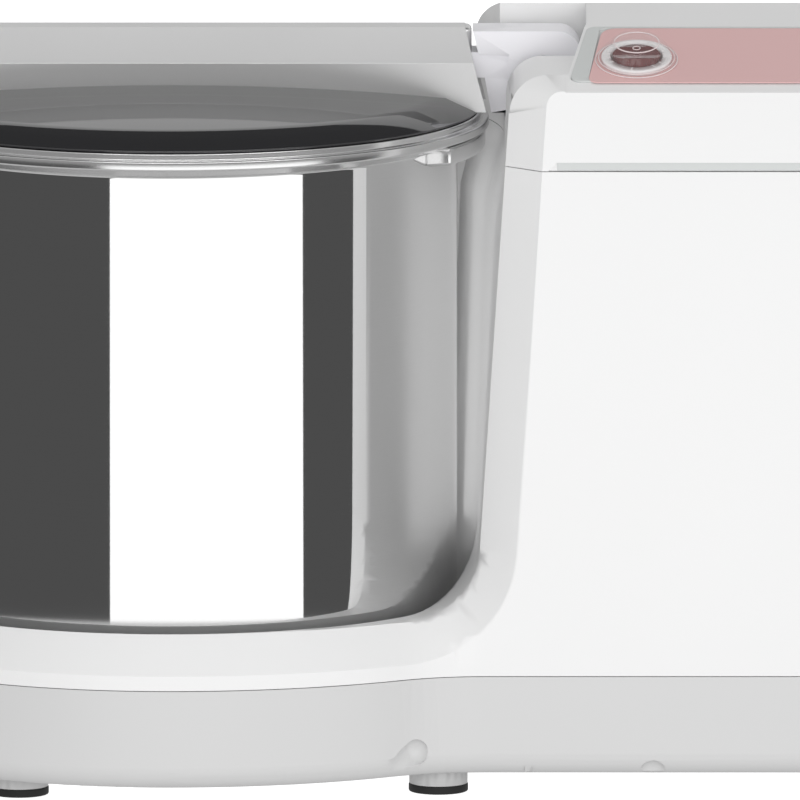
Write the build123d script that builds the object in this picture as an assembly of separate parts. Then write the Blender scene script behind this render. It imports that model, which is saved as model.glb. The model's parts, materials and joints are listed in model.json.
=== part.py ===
from build123d import *
import math
import os

# Tabletop wet grinder: a steel drum stands in the round end of a moulded body and turns under two
# held conical stones, and a belt drive in the base and the square end of the body turns it.
# All lengths are millimetres. Pieces are modelled about the drum's axis, z = 0 on the table.

# Overall form
tower_length = 168.0
lobe_wall = 14.5
half_depth = 97.0
shoulder_swell = 33.0
neck_radius = 60.0
end_corner_radius = 28.0
shell_wall = 2.6
overrun = 20.0
part_gap = 0.3
running_clearance = 0.05
soft_edge_share = 0.2

# Heights of the casing
pan_bottom_height = 10.0
lip_cover = 10.3
bay_floor_wall = 8.5
rim_clear_drop = 22.0

# Left face of the tower, from low to high, and the wide bevel beside it
scoop_flare_mid = 3.7
scoop_flare_high = 6.5
front_edge_step = 1.1
front_edge_lean = 9.6
corner_arc_radius = 28.0
bevel_width = 14.0
bevel_margin = 4.0
rear_nose_depth = 48.0
rear_nose_angle = 24.0

# Tray under the drum
tray_floor_thickness = 2.6
tray_clearance = 5.0
lip_width = 2.5
tray_hole_radius = 13.0

# Base pan
pan_floor = 3.0
pan_edge_radius = 9.0
dimple_radius = 5.2
dimple_inset = 37.7
dimple_height = 20.1
dimple_lift = 0.8
dimple_slant_shares = (-0.75, -1.0, -0.65)
small_dimple_radius = 5.5
small_dimple_offset = 52.7
small_dimple_height = 10.5
small_dimple_depth = 2.0
vent_count = 9
vent_width = 4.0
vent_length = 70.0
vent_pitch = 9.0

# Feet
foot_radius = 11.4
foot_pad_height = 3.2
foot_boss_radius = 11.2
foot_well_radius = 9.5
foot_stud_radius = 4.0
foot_stud_height = 7.0
foot_lobe_inset = 74.2
foot_neck_inset = 29.3
foot_end_inset = 37.0
foot_lobe_side_inset = 20.0
foot_side_inset = 27.0

# Drum
drum_radius = 110.0
drum_sheet = 1.0
drum_float = 6.7
drum_corner_radius = 12.0
rim_flare_rise = 4.3
rim_bead_width = 3.3
rim_flare = 12.2
rim_lip_height = 2.7
rim_step = 3.2
drum_depth = 195.7
rim_edge_width = 2.5
rim_bead_rounding = 1.2
lug_angle = 36.0
lug_drop = 4.4
lug_setback = 1.7
base_stone_margin = 16.0
base_stone_thickness = 22.0
stone_edge_rounding = 3.0

# Coupling, spindle and its bearings
coupling_flange_radius = 22.0
coupling_post_radius = 9.0
coupling_post_sink = 1.0
holder_pin_radius = 4.0
holder_pin_depth = 13.0
spindle_radius = 7.5
spindle_hex_flats = 12.0
spindle_hex_grip = 6.0
spindle_bottom_height = 14.5
seal_height = 3.1
bearing_outer_radius = 16.0
bearing_width = 8.0
bearing_ring = 3.4
bearing_housing_radius = 20.5
bearing_flange_radius = 36.0
bearing_flange_thickness = 3.0
bearing_bolt_circle = 29.0
bearing_shoulder = 1.0
bearing_room = 19.7

# Belt drive
pulley_bottom_height = 15.0
pulley_width = 14.0
spindle_pulley_radius = 52.0
motor_pulley_radius = 13.0
pulley_flange = 2.6
pulley_flange_thickness = 1.2
pulley_groove_count = 4
pulley_groove_depth = 1.4
pulley_rim = 5.0
pulley_web = 5.0
pulley_hub_radius = 13.0
pulley_hole_count = 5
belt_thickness = 2.3
motor_offset = 76.0

# Motor
plate_bottom_height = 50.0
plate_thickness = 3.0
plate_half_x = 52.0
plate_side_inset = 19.0
pillar_x = 44.0
pillar_side_inset = 27.0
pillar_radius = 6.5
bracket_radius = 50.0
bracket_depth = 12.0
bracket_wall = 3.5
ear_radius = 6.0
ear_circle = 55.0
stator_radius = 48.0
stator_bore = 25.4
stator_height = 44.0
winding_outer = 43.0
winding_inner = 29.0
winding_height = 14.0
rotor_radius = 25.0
shaft_radius = 5.0
fan_radius = 42.0
fan_hub_radius = 10.0
fan_plate = 1.6
fan_blade_height = 13.0
fan_blade_thickness = 1.6
fan_blade_count = 11
motor_bolt_radius = 2.0
bolt_head_radius = 3.8
bolt_head_height = 3.0
capacitor_radius = 15.0
capacitor_height = 72.0
capacitor_end_inset = 20.0
capacitor_side_inset = 45.0
capacitor_seat = 4.0

# Inlet bush in the back wall
inlet_offset = 100.0
inlet_height = 32.0
inlet_radius = 8.0
inlet_bore = 3.6
inlet_flange = 2.2
inlet_reach = 7.0

# Roller stones and their holder
cone_angle = 27.0
stone_slant_start = 24.0
stone_end_margin = 6.0
bush_outer = 8.0
axle_radius = 5.0
axle_start = 12.0
axle_boss_start = 4.0
axle_boss_radius = 8.0
axle_nut_radius = 8.5
axle_nut_height = 7.0
axle_washer_thickness = 1.5
hub_clearance = 1.0
hub_foot_radius = 10.0
hub_radius = 12.0
hub_foot_length = 10.0
hub_length = 26.0
hub_neck_radius = 7.0
hub_taper_length = 10.0
holder_collar_drop = 8.5
holder_square = 8.0
holder_square_grip = 6.5

# Arm
hinge_offset = 11.0
arm_end_radius = 14.0
arm_sink = 1.0
arm_flange_half = 11.0
arm_flange_thickness = 9.0
arm_web_half = 9.0
beam_depth = 9.8
beam_drop = 8.4
arm_end_gap = 2.6
socket_radius = 11.0
socket_length = 11.3
socket_clearance = 1.0
arm_tip_x = -15.0
hinge_pin_radius = 4.0
hinge_ear_inner = 11.4
hinge_ear_thickness = 3.0
hinge_ear_radius = 8.0
hinge_plate_half_x = 13.0
hinge_plate_thickness = 2.5

# Lid
lid_inset = 0.5
lid_bevel_width = 11.5
lid_crest_rise = 6.5
lid_crown_rise = 5.1
lid_curve_share = 0.75
lid_sheet = 2.0
lid_edge_height = 0.7
lid_seat_width = 5.0
lid_ring_setback = 3.0
lid_ring_drop = 1.9
lid_slot_half = 12.6
bridge_roof_rise = 7.3
bridge_top_half = 6.2
bridge_break_half = 12.6
bridge_break_rise = 5.1
bridge_side_half = 18.0
bridge_side_rise = 8.3
bridge_end_setback = 5.5
bridge_end_proud = 2.5
bridge_end_wall = 3.0
bridge_foot_lift = 0.9
bridge_wall = 2.0

# Top cover
cheek_drop = 6.0
cheek_rounding = 9.0
slope_angle = 18.5
slope_front_drop = 2.5
slope_front_inset = 7.0
slope_length = 47.6
back_slope_angle = 10.0
bay_depth = 19.0
bay_front_y = 34.0
bay_back_y = 20.0
bay_end_offset = 27.4
console_front_offset = 19.0
console_top_offset = 26.5
rear_end_rounding = 11.0
groove_height = 3.3
groove_depth = 1.5
groove_offset = 12.5

# Control bezel, panel and switch
bezel_thickness = 2.4
bezel_proud = 0.8
bezel_left_front_offset = 20.6
bezel_left_back_offset = 27.6
bezel_end_inset = 20.0
bezel_margin = 1.0
bezel_corner = 4.0
panel_left_front_offset = 28.0
panel_left_back_offset = 32.6
panel_end_inset = 26.0
panel_margin = 1.2
panel_thickness = 1.0
panel_corner = 2.0
panel_clearance = 0.15
switch_offset = 46.3
switch_along = 18.1
switch_body_radius = 11.5
switch_body_depth = 20.0
switch_ring_radius = 13.5
switch_ring_height = 2.2
switch_bore = 10.1
switch_bore_depth = 6.0
rocker_radius = 9.2
rocker_half_angle = 9.0
rocker_top = 3.0
rocker_pivot_depth = 1.0
rocker_skirt = 2.6
trunnion_radius = 1.2
trunnion_reach = 10.9
boot_flange_radius = 15.7
boot_foot_radius = 14.9
boot_top_radius = 8.9
boot_height = 8.6
boot_wall = 0.8
boot_corner_radius = 10.4
boot_edge = 1.2

# Screws
screw_radius = 1.8
screw_head_radius = 3.6
screw_head_height = 2.4
screw_length = 14.0
screw_boss_radius = 4.5

# Places that follow from the sizes above: round the drum
tray_radius = drum_radius + tray_clearance
lip_radius = tray_radius + lip_width
lobe_radius = lip_radius + lobe_wall
shoulder_radius = lobe_radius + shoulder_swell
scoop_radius_low = lip_radius + part_gap
scoop_radius_mid = scoop_radius_low + scoop_flare_mid
scoop_radius_high = scoop_radius_mid + scoop_flare_high
front_edge_low = lip_radius + front_edge_step
front_edge_high = front_edge_low + front_edge_lean
rim_lower_radius = drum_radius + rim_flare
rim_upper_radius = rim_lower_radius - rim_step
rim_inner_radius = rim_upper_radius - rim_edge_width
lug_radius = rim_lower_radius - lug_setback
base_stone_radius = drum_radius - base_stone_margin
stone_slant_end = base_stone_radius - stone_end_margin
lid_edge_radius = rim_upper_radius - lid_inset
lid_crest_radius = lid_edge_radius - lid_bevel_width
lid_ring_radius = lid_edge_radius - lid_seat_width - lid_ring_setback
bridge_end_top = lid_edge_radius - bridge_end_setback
bridge_end_foot = lid_edge_radius + bridge_end_proud

# Places along and across the tower
tower_end_x = lobe_radius + tower_length
overall_length = lobe_radius + tower_end_x
drum_axis_x = lobe_radius - overall_length / 2
dimple_x = lobe_radius - dimple_inset
small_dimple_x = lobe_radius + small_dimple_offset
foot_xs = (foot_lobe_inset - lobe_radius, lobe_radius - foot_neck_inset, tower_end_x - foot_end_inset)
foot_ys = (half_depth - foot_lobe_side_inset, half_depth - foot_side_inset, half_depth - foot_side_inset)
motor_x = lobe_radius + motor_offset
plate_half_y = half_depth - plate_side_inset
pillar_y = half_depth - pillar_side_inset
capacitor_x = tower_end_x - capacitor_end_inset
capacitor_y = half_depth - capacitor_side_inset
inlet_x = lobe_radius + inlet_offset
hinge_x = lobe_radius + hinge_offset
bay_end_x = lobe_radius + bay_end_offset
console_front_x = lobe_radius + console_front_offset
console_top_x = lobe_radius + console_top_offset
groove_start_x = lobe_radius + groove_offset
bezel_left_front = lobe_radius + bezel_left_front_offset
bezel_left_back = lobe_radius + bezel_left_back_offset
bezel_right = tower_end_x - bezel_end_inset
panel_left_front = lobe_radius + panel_left_front_offset
panel_left_back = lobe_radius + panel_left_back_offset
panel_right = tower_end_x - panel_end_inset
switch_x = lobe_radius + switch_offset
slope_front_y = half_depth - slope_front_inset
slope_back_y = slope_front_y - slope_length * math.cos(math.radians(slope_angle))

# Heights, each from what carries it
seam_height = pulley_bottom_height + pulley_width + bearing_room
tray_top = seam_height + tray_floor_thickness
drum_bottom_height = tray_top + drum_float
lip_height = drum_bottom_height + lip_cover
stone_floor = drum_bottom_height + drum_sheet
base_stone_top = stone_floor + base_stone_thickness
coupling_post_top_height = base_stone_top - coupling_post_sink
spindle_hex_top_height = drum_bottom_height + spindle_hex_grip
rim_top_height = drum_bottom_height + drum_depth
rim_bead_height = rim_top_height - rim_lip_height
rim_flare_height = rim_bead_height - rim_bead_width
drum_wall_top_height = rim_flare_height - rim_flare_rise
lug_drop_height = drum_wall_top_height - lug_drop
rim_clear_height = lug_drop_height - rim_clear_drop
lid_crest_height = rim_top_height + lid_crest_rise
lid_centre_height = lid_crest_height + lid_crown_rise
lid_ring_bottom_height = rim_top_height - lid_ring_drop
bridge_side_height = lid_centre_height + bridge_side_rise
bridge_break_height = bridge_side_height + bridge_break_rise
bridge_top_height = bridge_break_height + bridge_roof_rise
bridge_foot_height = rim_top_height + bridge_foot_lift
arm_top_height = bridge_top_height - arm_sink
hinge_height = arm_top_height - arm_end_radius
beam_top_height = arm_top_height - beam_drop
beam_bottom_height = beam_top_height - beam_depth
socket_bottom_height = beam_bottom_height - socket_length
holder_collar_height = socket_bottom_height - holder_collar_drop
holder_top_height = socket_bottom_height + holder_square_grip
hub_bottom_height = base_stone_top + hub_clearance
hub_shoulder_height = hub_bottom_height + hub_foot_length
hub_top_height = hub_shoulder_height + hub_length
hub_neck_height = hub_top_height + hub_taper_length
cheek_height = arm_top_height - cheek_drop
slope_front_height = cheek_height - slope_front_drop
top_height = slope_front_height + slope_length * math.sin(math.radians(slope_angle))
bay_floor_height = hinge_height - bay_depth
cover_seam_height = bay_floor_height - bay_floor_wall
apex_height = base_stone_top + part_gap
pan_inside = pan_bottom_height + pan_floor
belt_bottom = pulley_bottom_height + pulley_flange_thickness + part_gap
belt_height = pulley_width - 2 * (pulley_flange_thickness + part_gap)
tilt = math.radians(cone_angle)

os.makedirs("parts", exist_ok=True)


def save(name, solid):
    """Write one node, moved from the drum's axis to the middle of the whole object."""
    export_step(Pos(drum_axis_x, 0, 0) * solid, f"parts/{name}.step")


def on_circle(centre, radius, angle):
    """Point on a circle in the plan, by angle in degrees."""
    turn = math.radians(angle)
    return centre[0] + radius * math.cos(turn), centre[1] + radius * math.sin(turn)


def disc(radius, bottom, top, x=0.0, y=0.0):
    """Upright cylinder between two heights."""
    return Pos(x, y, bottom) * Cylinder(radius, top - bottom, align=(Align.CENTER, Align.CENTER, Align.MIN))


def ring(outer, inner, bottom, top, x=0.0, y=0.0):
    """Upright tube between two heights."""
    return disc(outer, bottom, top, x, y) - disc(inner, bottom - overrun, top + overrun, x, y)


def block(x0, x1, y0, y1, z0, z1):
    """Box between two corners."""
    return Pos(x0, y0, z0) * Box(x1 - x0, y1 - y0, z1 - z0, align=(Align.MIN, Align.MIN, Align.MIN))


def turned(points):
    """Solid of revolution about the drum's axis from an outline of radius and height."""
    return revolve(make_face(Plane.XZ * Polyline(*points, close=True)), axis=Axis.Z)


def side_prism(points, half_width):
    """Prism across the object from an outline of x and height."""
    return extrude(make_face(Plane.XZ * Polyline(*points, close=True)), amount=half_width, both=True)


# Outline of the casing


def neck_middle():
    """Centre of the front neck's arc, which is the same for every inset."""
    out = half_depth + neck_radius
    fall = shoulder_radius - lobe_radius + out
    return (math.sqrt((shoulder_radius + neck_radius) ** 2 - fall**2), -out)


def body_plan(inset):
    """Footprint of the body drawn in by inset: round end, shoulders, necks and square end."""
    lobe = lobe_radius - inset
    shoulder = shoulder_radius - inset
    neck = neck_radius + inset
    flat = half_depth - inset
    end = tower_end_x - inset
    corner = end_corner_radius - inset
    shoulder_centre = (0, shoulder_radius - lobe_radius)
    neck_centre = neck_middle()
    fall = shoulder_centre[1] - neck_centre[1]
    swing = -math.degrees(math.atan2(fall, neck_centre[0]))
    corner_centre = (end - corner, corner - flat)
    join = on_circle(shoulder_centre, shoulder, swing)
    front = [
        ThreePointArc((-lobe, 0), on_circle((0, 0), lobe, -135), (0, -lobe)),
        ThreePointArc((0, -lobe), on_circle(shoulder_centre, shoulder, (swing - 90) / 2), join),
        ThreePointArc(join, on_circle(neck_centre, neck, (swing + 270) / 2), (neck_centre[0], -flat)),
        Line((neck_centre[0], -flat), (end - corner, -flat)),
        ThreePointArc((end - corner, -flat), on_circle(corner_centre, corner, -45), (end, corner - flat)),
        Line((end, corner - flat), (end, 0)),
    ]
    return make_face(front + [mirror(edge, Plane.XZ) for edge in front])


def tower_cut_face(y, left):
    """Upright face of what is cut away left of the tower; left lists the tower's points, low to high."""

    def at(x, z):
        return Vector(x, y, z)

    far = -(lobe_radius + overrun)
    low, corner_z = left[0]
    top = left[-1][1]
    corner_x = low - corner_arc_radius
    bend = corner_arc_radius * math.sqrt(0.5)
    edges = [
        Line(at(far, lip_height), at(corner_x, lip_height)),
        ThreePointArc(at(corner_x, lip_height), at(corner_x + bend, corner_z - bend), at(low, corner_z)),
    ]
    edges += [Line(at(*a), at(*b)) for a, b in zip(left[:-1], left[1:])]
    edges += [Line(at(*left[-1]), at(far, top)), Line(at(far, top), at(far, lip_height))]
    return make_face(edges)


def tower_cut(near_y, near_xs, side):
    """What is cut away left of the tower on one side: flared as far as the bevel, straight beyond."""
    reach = side * (half_depth - bevel_width - bevel_margin)
    levels = (lip_height + corner_arc_radius, rim_clear_height, cover_seam_height, top_height + overrun)
    lean = (front_edge_high - front_edge_low) / (cover_seam_height - levels[0])
    edge = [(front_edge_low + lean * (z - levels[0]), z) for z in levels]
    near = list(zip(near_xs, levels))
    flare = loft([tower_cut_face(near_y, near), tower_cut_face(reach, edge)], ruled=True)
    straight = extrude(tower_cut_face(reach, [edge[0], edge[-1]]), amount=lobe_radius, dir=(0, side, 0))
    return flare, straight


def casing():
    """Whole outer form of body and top cover, before it is parted at the cover seam."""
    far_y = lobe_radius + overrun
    form = Pos(0, 0, seam_height) * extrude(body_plan(0), amount=top_height - seam_height, dir=(0, 0, 1))
    scoop_xs = (scoop_radius_low, scoop_radius_mid, scoop_radius_high, scoop_radius_high)
    nose_xs = [x * math.cos(math.radians(rear_nose_angle)) for x in scoop_xs]
    cuts = [*tower_cut(0, scoop_xs, -1), *tower_cut(rear_nose_depth, nose_xs, 1)]
    cuts.append(block(-far_y, 0, -far_y, far_y, lip_height, top_height + overrun))
    for cut in cuts:
        form = form - cut
    scoop = turned(
        [
            (0, tray_top),
            (tray_radius, tray_top),
            (lip_radius, lip_height),
            (scoop_radius_low, lip_height + corner_arc_radius),
            (scoop_radius_mid, rim_clear_height),
            (scoop_radius_high, cover_seam_height),
            (scoop_radius_high, top_height + overrun),
            (0, top_height + overrun),
        ]
    )
    rims = []
    for edge in form.edges():
        box = edge.bounding_box()
        low, high, middle = box.min.Z, box.max.Z, edge.center()
        if low < lip_height - part_gap or low > top_height - part_gap:
            continue
        beside_tower = abs(abs(middle.Y) - half_depth) < part_gap and middle.X < tower_end_x / 2
        outer = math.hypot(middle.X, middle.Y) > scoop_radius_low and edge.geom_type != GeomType.LINE
        if beside_tower or (high < lip_height + part_gap and outer):
            rims.append(edge)
    return chamfer(rims, length=bevel_width) - scoop


def screw_spots():
    """Places of the screws that draw the base pan to the body."""
    inner = half_depth - pan_edge_radius - screw_head_radius - part_gap
    near = front_edge_low + bevel_width + screw_boss_radius
    return [(x, y) for x in (near, tower_end_x - end_corner_radius) for y in (-inner, inner)]


def screw_boss(x, y, bottom, top):
    """Boss for a casing screw with the rib that ties it to the wall."""
    side = math.copysign(1, y)
    wall_y = side * (half_depth - shell_wall / 2)
    rib = block(x - shell_wall / 2, x + shell_wall / 2, min(y, wall_y), max(y, wall_y), bottom, top)
    return disc(screw_boss_radius, bottom, top, x, y) + rib


# Casing pieces


def body_shell(form):
    """Moulded body: tray and lip round the drum, and the hollow tower."""
    far_y = lobe_radius + overrun
    shell = form & block(-far_y, tower_end_x + overrun, -far_y, far_y, 0, cover_seam_height)
    outer_y = half_depth - shell_wall
    inner_y = half_depth - bevel_width - shell_wall / 2
    near = front_edge_low + shell_wall
    left = [
        (near, seam_height - overrun),
        (near, lip_height + corner_arc_radius),
        (scoop_radius_mid + 2 * shell_wall, rim_clear_height),
        (scoop_radius_high + shell_wall, cover_seam_height + overrun),
    ]
    hollow = side_prism(
        left
        + [(tower_end_x - shell_wall, z) for z in (cover_seam_height + overrun, seam_height - overrun)],
        inner_y,
    )
    wide_x = front_edge_high + bevel_width + shell_wall
    wide = block(
        wide_x, tower_end_x - shell_wall, -outer_y, outer_y,
        seam_height - overrun, cover_seam_height + overrun,
    )
    wide = fillet(wide.edges().filter_by(Axis.Z).group_by(Axis.X)[-1], end_corner_radius - shell_wall)
    hollow = hollow & block(0, tower_end_x - end_corner_radius, -far_y, far_y, 0, top_height + overrun)
    shell = shell - hollow - wide
    shell = shell - disc(tray_hole_radius, seam_height - overrun, lip_height)
    for x, y in screw_spots():
        shell = shell + screw_boss(x, y, seam_height, lip_height)
        shell = shell - disc(screw_radius, seam_height - overrun, seam_height + screw_length, x, y)
    for spot in range(4):
        x, y = on_circle((0, 0), bearing_bolt_circle, 45 + 90 * spot)
        shell = shell - disc(screw_radius, seam_height - overrun, lip_height, x, y)
    return shell


def dimples(wall):
    """Finger dimples of both sides, grown by a wall: scoops in the necks, half scoops by the tower."""
    neck_x, neck_y = neck_middle()
    surface_y = neck_y + math.sqrt(neck_radius**2 - (dimple_x - neck_x) ** 2)
    scoop = Cylinder(dimple_radius + wall, overrun, align=(Align.CENTER, Align.CENTER, Align.MIN))
    scoop = scoop + Sphere(dimple_radius + wall)
    seat = Plane(origin=(dimple_x, surface_y - dimple_lift, dimple_height), z_dir=dimple_slant_shares)
    small_y = half_depth - pan_edge_radius / 2 + small_dimple_radius - small_dimple_depth
    half_scoop = Pos(small_dimple_x, -small_y, small_dimple_height) * Sphere(small_dimple_radius + wall)
    return [form for one in (seat * scoop, half_scoop) for form in (one, mirror(one, Plane.XZ))]


def base_pan():
    """Lower casing: rounded tray with foot bosses, motor pillars, vents and finger dimples."""
    depth = seam_height - part_gap - pan_bottom_height
    outer = Pos(0, 0, pan_bottom_height) * extrude(body_plan(0), amount=depth, dir=(0, 0, 1))
    outer = fillet(outer.faces().sort_by(Axis.Z)[0].edges(), pan_edge_radius)
    pan = outer - Pos(0, 0, pan_inside) * extrude(body_plan(shell_wall), amount=depth, dir=(0, 0, 1))
    for x, y in zip(foot_xs, foot_ys):
        for side in (-1, 1):
            pan = pan + disc(foot_boss_radius, foot_pad_height, pan_inside, x, side * y)
            pan = pan + disc(foot_well_radius, foot_pad_height, pan_inside + foot_pad_height, x, side * y)
            pan = pan - disc(foot_stud_radius, 0, foot_pad_height + foot_stud_height, x, side * y)
    for step_x in (-pillar_x, pillar_x):
        for y in (-pillar_y, pillar_y):
            bottom = pan_inside - pan_floor / 2
            pan = pan + disc(pillar_radius, bottom, plate_bottom_height, motor_x + step_x, y)
            pan = pan - disc(
                screw_radius, plate_bottom_height - screw_length, plate_bottom_height + overrun,
                motor_x + step_x, y,
            )
    for x, y in screw_spots():
        pan = pan + screw_boss(x, y, pan_inside - pan_floor / 2, seam_height - part_gap)
        pan = pan - disc(screw_radius + part_gap, 0, seam_height + overrun, x, y)
        pan = pan - disc(screw_head_radius + part_gap, 0, pan_bottom_height + screw_head_height, x, y)
    first = motor_x - vent_pitch * (vent_count - 1) / 2
    for number in range(vent_count):
        x = first + number * vent_pitch
        pan = pan - block(
            x - vent_width / 2, x + vent_width / 2, -vent_length / 2, vent_length / 2, 0, pan_inside + part_gap
        )
    seat = ring(
        capacitor_radius + shell_wall, capacitor_radius + running_clearance, pan_inside - part_gap,
        pan_inside + capacitor_seat, capacitor_x, capacitor_y,
    )
    pan = pan + (seat & extrude(body_plan(shell_wall), amount=seam_height, dir=(0, 0, 1)))
    for backing, hollow in zip(dimples(shell_wall), dimples(0)):
        pan = pan + (backing & outer) - hollow
    bush = Pos(inlet_x, half_depth, inlet_height) * Rot(90, 0, 0) * Cylinder(inlet_radius, 4 * shell_wall)
    return pan - bush


def slope_plane(along=0.0, x=0.0):
    """Plane of the sloping console face, at a distance up the slope."""
    turn = math.radians(slope_angle)
    origin = (x, along * math.cos(turn) - slope_front_y, slope_front_height + along * math.sin(turn))
    return Plane(origin=origin, x_dir=(1, 0, 0), z_dir=(0, -math.sin(turn), math.cos(turn)))


def console_section(drop):
    """Section of the cover across the console: front slope, level top and falling back."""
    slope_back_height = slope_front_height + slope_length * math.sin(math.radians(slope_angle))
    front_fall = math.tan(math.radians(slope_angle)) * overrun
    back_fall = math.tan(math.radians(back_slope_angle)) * (half_depth + overrun - bay_back_y)
    return [
        (-slope_front_y - overrun, slope_front_height - front_fall - drop),
        (-slope_back_y, slope_back_height - drop),
        (bay_back_y, slope_back_height - drop),
        (half_depth + overrun, slope_back_height - back_fall - drop),
    ]


def section_prism(points, x0, x1):
    """Prism along the object from an outline of y and height."""
    face = make_face(Plane.YZ * Polyline(*points, close=True))
    return Pos(x0, 0, 0) * extrude(face, amount=x1 - x0, dir=(1, 0, 0))


def panel_outline(left_front, left_back, right, margin, corner):
    """Outline on the slope: its left end leans, its corners are round."""
    bottom = margin
    top = slope_length - margin
    points = [(left_front, bottom), (right, bottom), (right, top), (left_back, top)]
    face = make_face(Polyline(*points, close=True))
    return fillet(face.vertices(), corner)


def top_cover(form):
    """Top cover: low cheek in front, bay for the arm, sloping console and rounded rear block."""
    far_y = lobe_radius + overrun
    high = top_height + overrun
    cover = form & block(
        0, tower_end_x + overrun, -far_y, far_y, cover_seam_height + part_gap, high
    )
    above = console_section(0)
    sky = above + [(half_depth + overrun, high), (-slope_front_y - overrun, high)]
    cover = cover - section_prism(sky, console_front_x, tower_end_x + overrun)
    rear_sky = [(bay_back_y, top_height)] + [above[3], (half_depth + overrun, high), (bay_back_y, high)]
    cover = cover - section_prism(rear_sky, 0, console_front_x + overrun)
    cheek_cut = make_face(
        Polyline(
            (0, -far_y),
            (console_front_x, -far_y),
            (console_front_x, -slope_front_y),
            (console_top_x, -slope_back_y),
            (bay_end_x, -bay_front_y),
            (bay_end_x, bay_back_y),
            (0, bay_back_y),
            close=True,
        )
    )
    cover = cover - Pos(0, 0, cheek_height) * extrude(cheek_cut, amount=high - cheek_height, dir=(0, 0, 1))
    cover = cover - block(0, bay_end_x, -bay_front_y, bay_back_y, bay_floor_height, high)
    nose_x = scoop_radius_high * math.cos(math.radians(rear_nose_angle))
    rounding = block(0, nose_x + rear_end_rounding, bay_back_y, far_y, top_height - rear_end_rounding, high)
    roll = Pos(nose_x + rear_end_rounding, bay_back_y, top_height - rear_end_rounding) * Rot(-90, 0, 0)
    roll = roll * Cylinder(rear_end_rounding, 2 * far_y)
    cover = cover - (rounding - roll)
    cover = cover - cheek_edge()
    cover = cover - cover_hollow()
    cover = cover - groove()
    face = Pos(0, 0, 0) * extrude(
        slope_plane() * panel_outline(
            bezel_left_front - panel_clearance, bezel_left_back - panel_clearance,
            bezel_right + panel_clearance, bezel_margin - panel_clearance, bezel_corner,
        ),
        amount=overrun, both=True,
    )
    under = slope_plane()
    under_box = under * (
        Pos(0, 0, bezel_proud - bezel_thickness)
        * Box(2 * overall_length, 2 * overall_length, 2 * overrun, align=(Align.CENTER, Align.CENTER, Align.MIN))
    )
    cover = cover - (face & under_box)
    hole = slope_plane(switch_along, switch_x) * Cylinder(switch_body_radius + panel_clearance, 2 * overrun)
    return cover - hole


def cheek_edge():
    """What is removed to round the cheek's upper left edge over."""
    left_x = scoop_radius_high
    square = block(
        0, left_x + cheek_rounding, -lobe_radius, -bay_front_y + overrun / 2,
        cheek_height - cheek_rounding, cheek_height + overrun,
    )
    roll = Pos(left_x + cheek_rounding, 0, cheek_height - cheek_rounding) * Rot(90, 0, 0)
    return square - roll * Cylinder(cheek_rounding, 2 * lobe_radius)


def cover_hollow():
    """Inside of the cover: under the console, under the cheek and in the rear block."""
    wall = shell_wall
    inner = half_depth - wall
    low = cover_seam_height - overrun
    under = console_section(wall + bezel_thickness)
    points = [(max(-inner, y) if y < 0 else min(inner, y), z) for y, z in under]
    console = section_prism(points + [(inner, low), (-inner, low)], bay_end_x + wall, tower_end_x - wall)
    upright = console.edges().filter_by(Axis.Z).group_by(Axis.X)[-1]
    console = fillet(upright, end_corner_radius - wall)
    left = scoop_radius_high + wall
    side = half_depth - bevel_width - wall / 2
    right = bay_end_x + 2 * wall
    cheek = block(left, right, -side, -bay_front_y - wall, low, cheek_height - cheek_rounding)
    rear = block(left, right, bay_back_y + wall, side, low, cheek_height - wall)
    floor = block(left, right, -side, side, low, bay_floor_height - wall)
    return console + cheek + rear + floor


def groove():
    """Shadow groove along the cover's lower edge, front and back, with a slanting start."""
    bottom = cover_seam_height - overrun
    top = cover_seam_height + part_gap + groove_height
    line = [
        (groove_start_x, bottom),
        (groove_start_x, cover_seam_height + part_gap),
        (groove_start_x + groove_height, top),
        (tower_end_x - end_corner_radius, top),
        (tower_end_x - end_corner_radius, bottom),
    ]
    band = side_prism(line, half_depth + overrun)
    return band - side_prism(line, half_depth - groove_depth)


# Control face


def control_bezel():
    """Grey surround let into the slope, pocketed for the panel."""
    outline = panel_outline(bezel_left_front, bezel_left_back, bezel_right, bezel_margin, bezel_corner)
    base = slope_plane()
    plate = extrude(base * (Pos(0, 0, bezel_proud - bezel_thickness) * outline), amount=bezel_thickness)
    pocket = panel_outline(
        panel_left_front - panel_clearance, panel_left_back - panel_clearance,
        panel_right + panel_clearance, panel_margin + bezel_margin - panel_clearance, panel_corner,
    )
    pocket = extrude(base * (Pos(0, 0, bezel_proud - panel_thickness) * pocket), amount=overrun)
    hole = slope_plane(switch_along, switch_x) * Cylinder(switch_body_radius + panel_clearance, 2 * overrun)
    return plate - pocket - hole


def control_panel():
    """Coloured panel in the bezel's pocket."""
    outline = panel_outline(
        panel_left_front, panel_left_back, panel_right, panel_margin + bezel_margin, panel_corner
    )
    plate = extrude(slope_plane() * (Pos(0, 0, bezel_proud - panel_thickness) * outline), amount=panel_thickness)
    hole = slope_plane(switch_along, switch_x) * Cylinder(switch_body_radius + panel_clearance, 2 * overrun)
    return plate - hole


def on_switch(piece):
    """Place a piece made about the origin on the switch's spot, its base on the panel's face."""
    return slope_plane(switch_along, switch_x) * (Pos(0, 0, bezel_proud) * piece)


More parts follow.
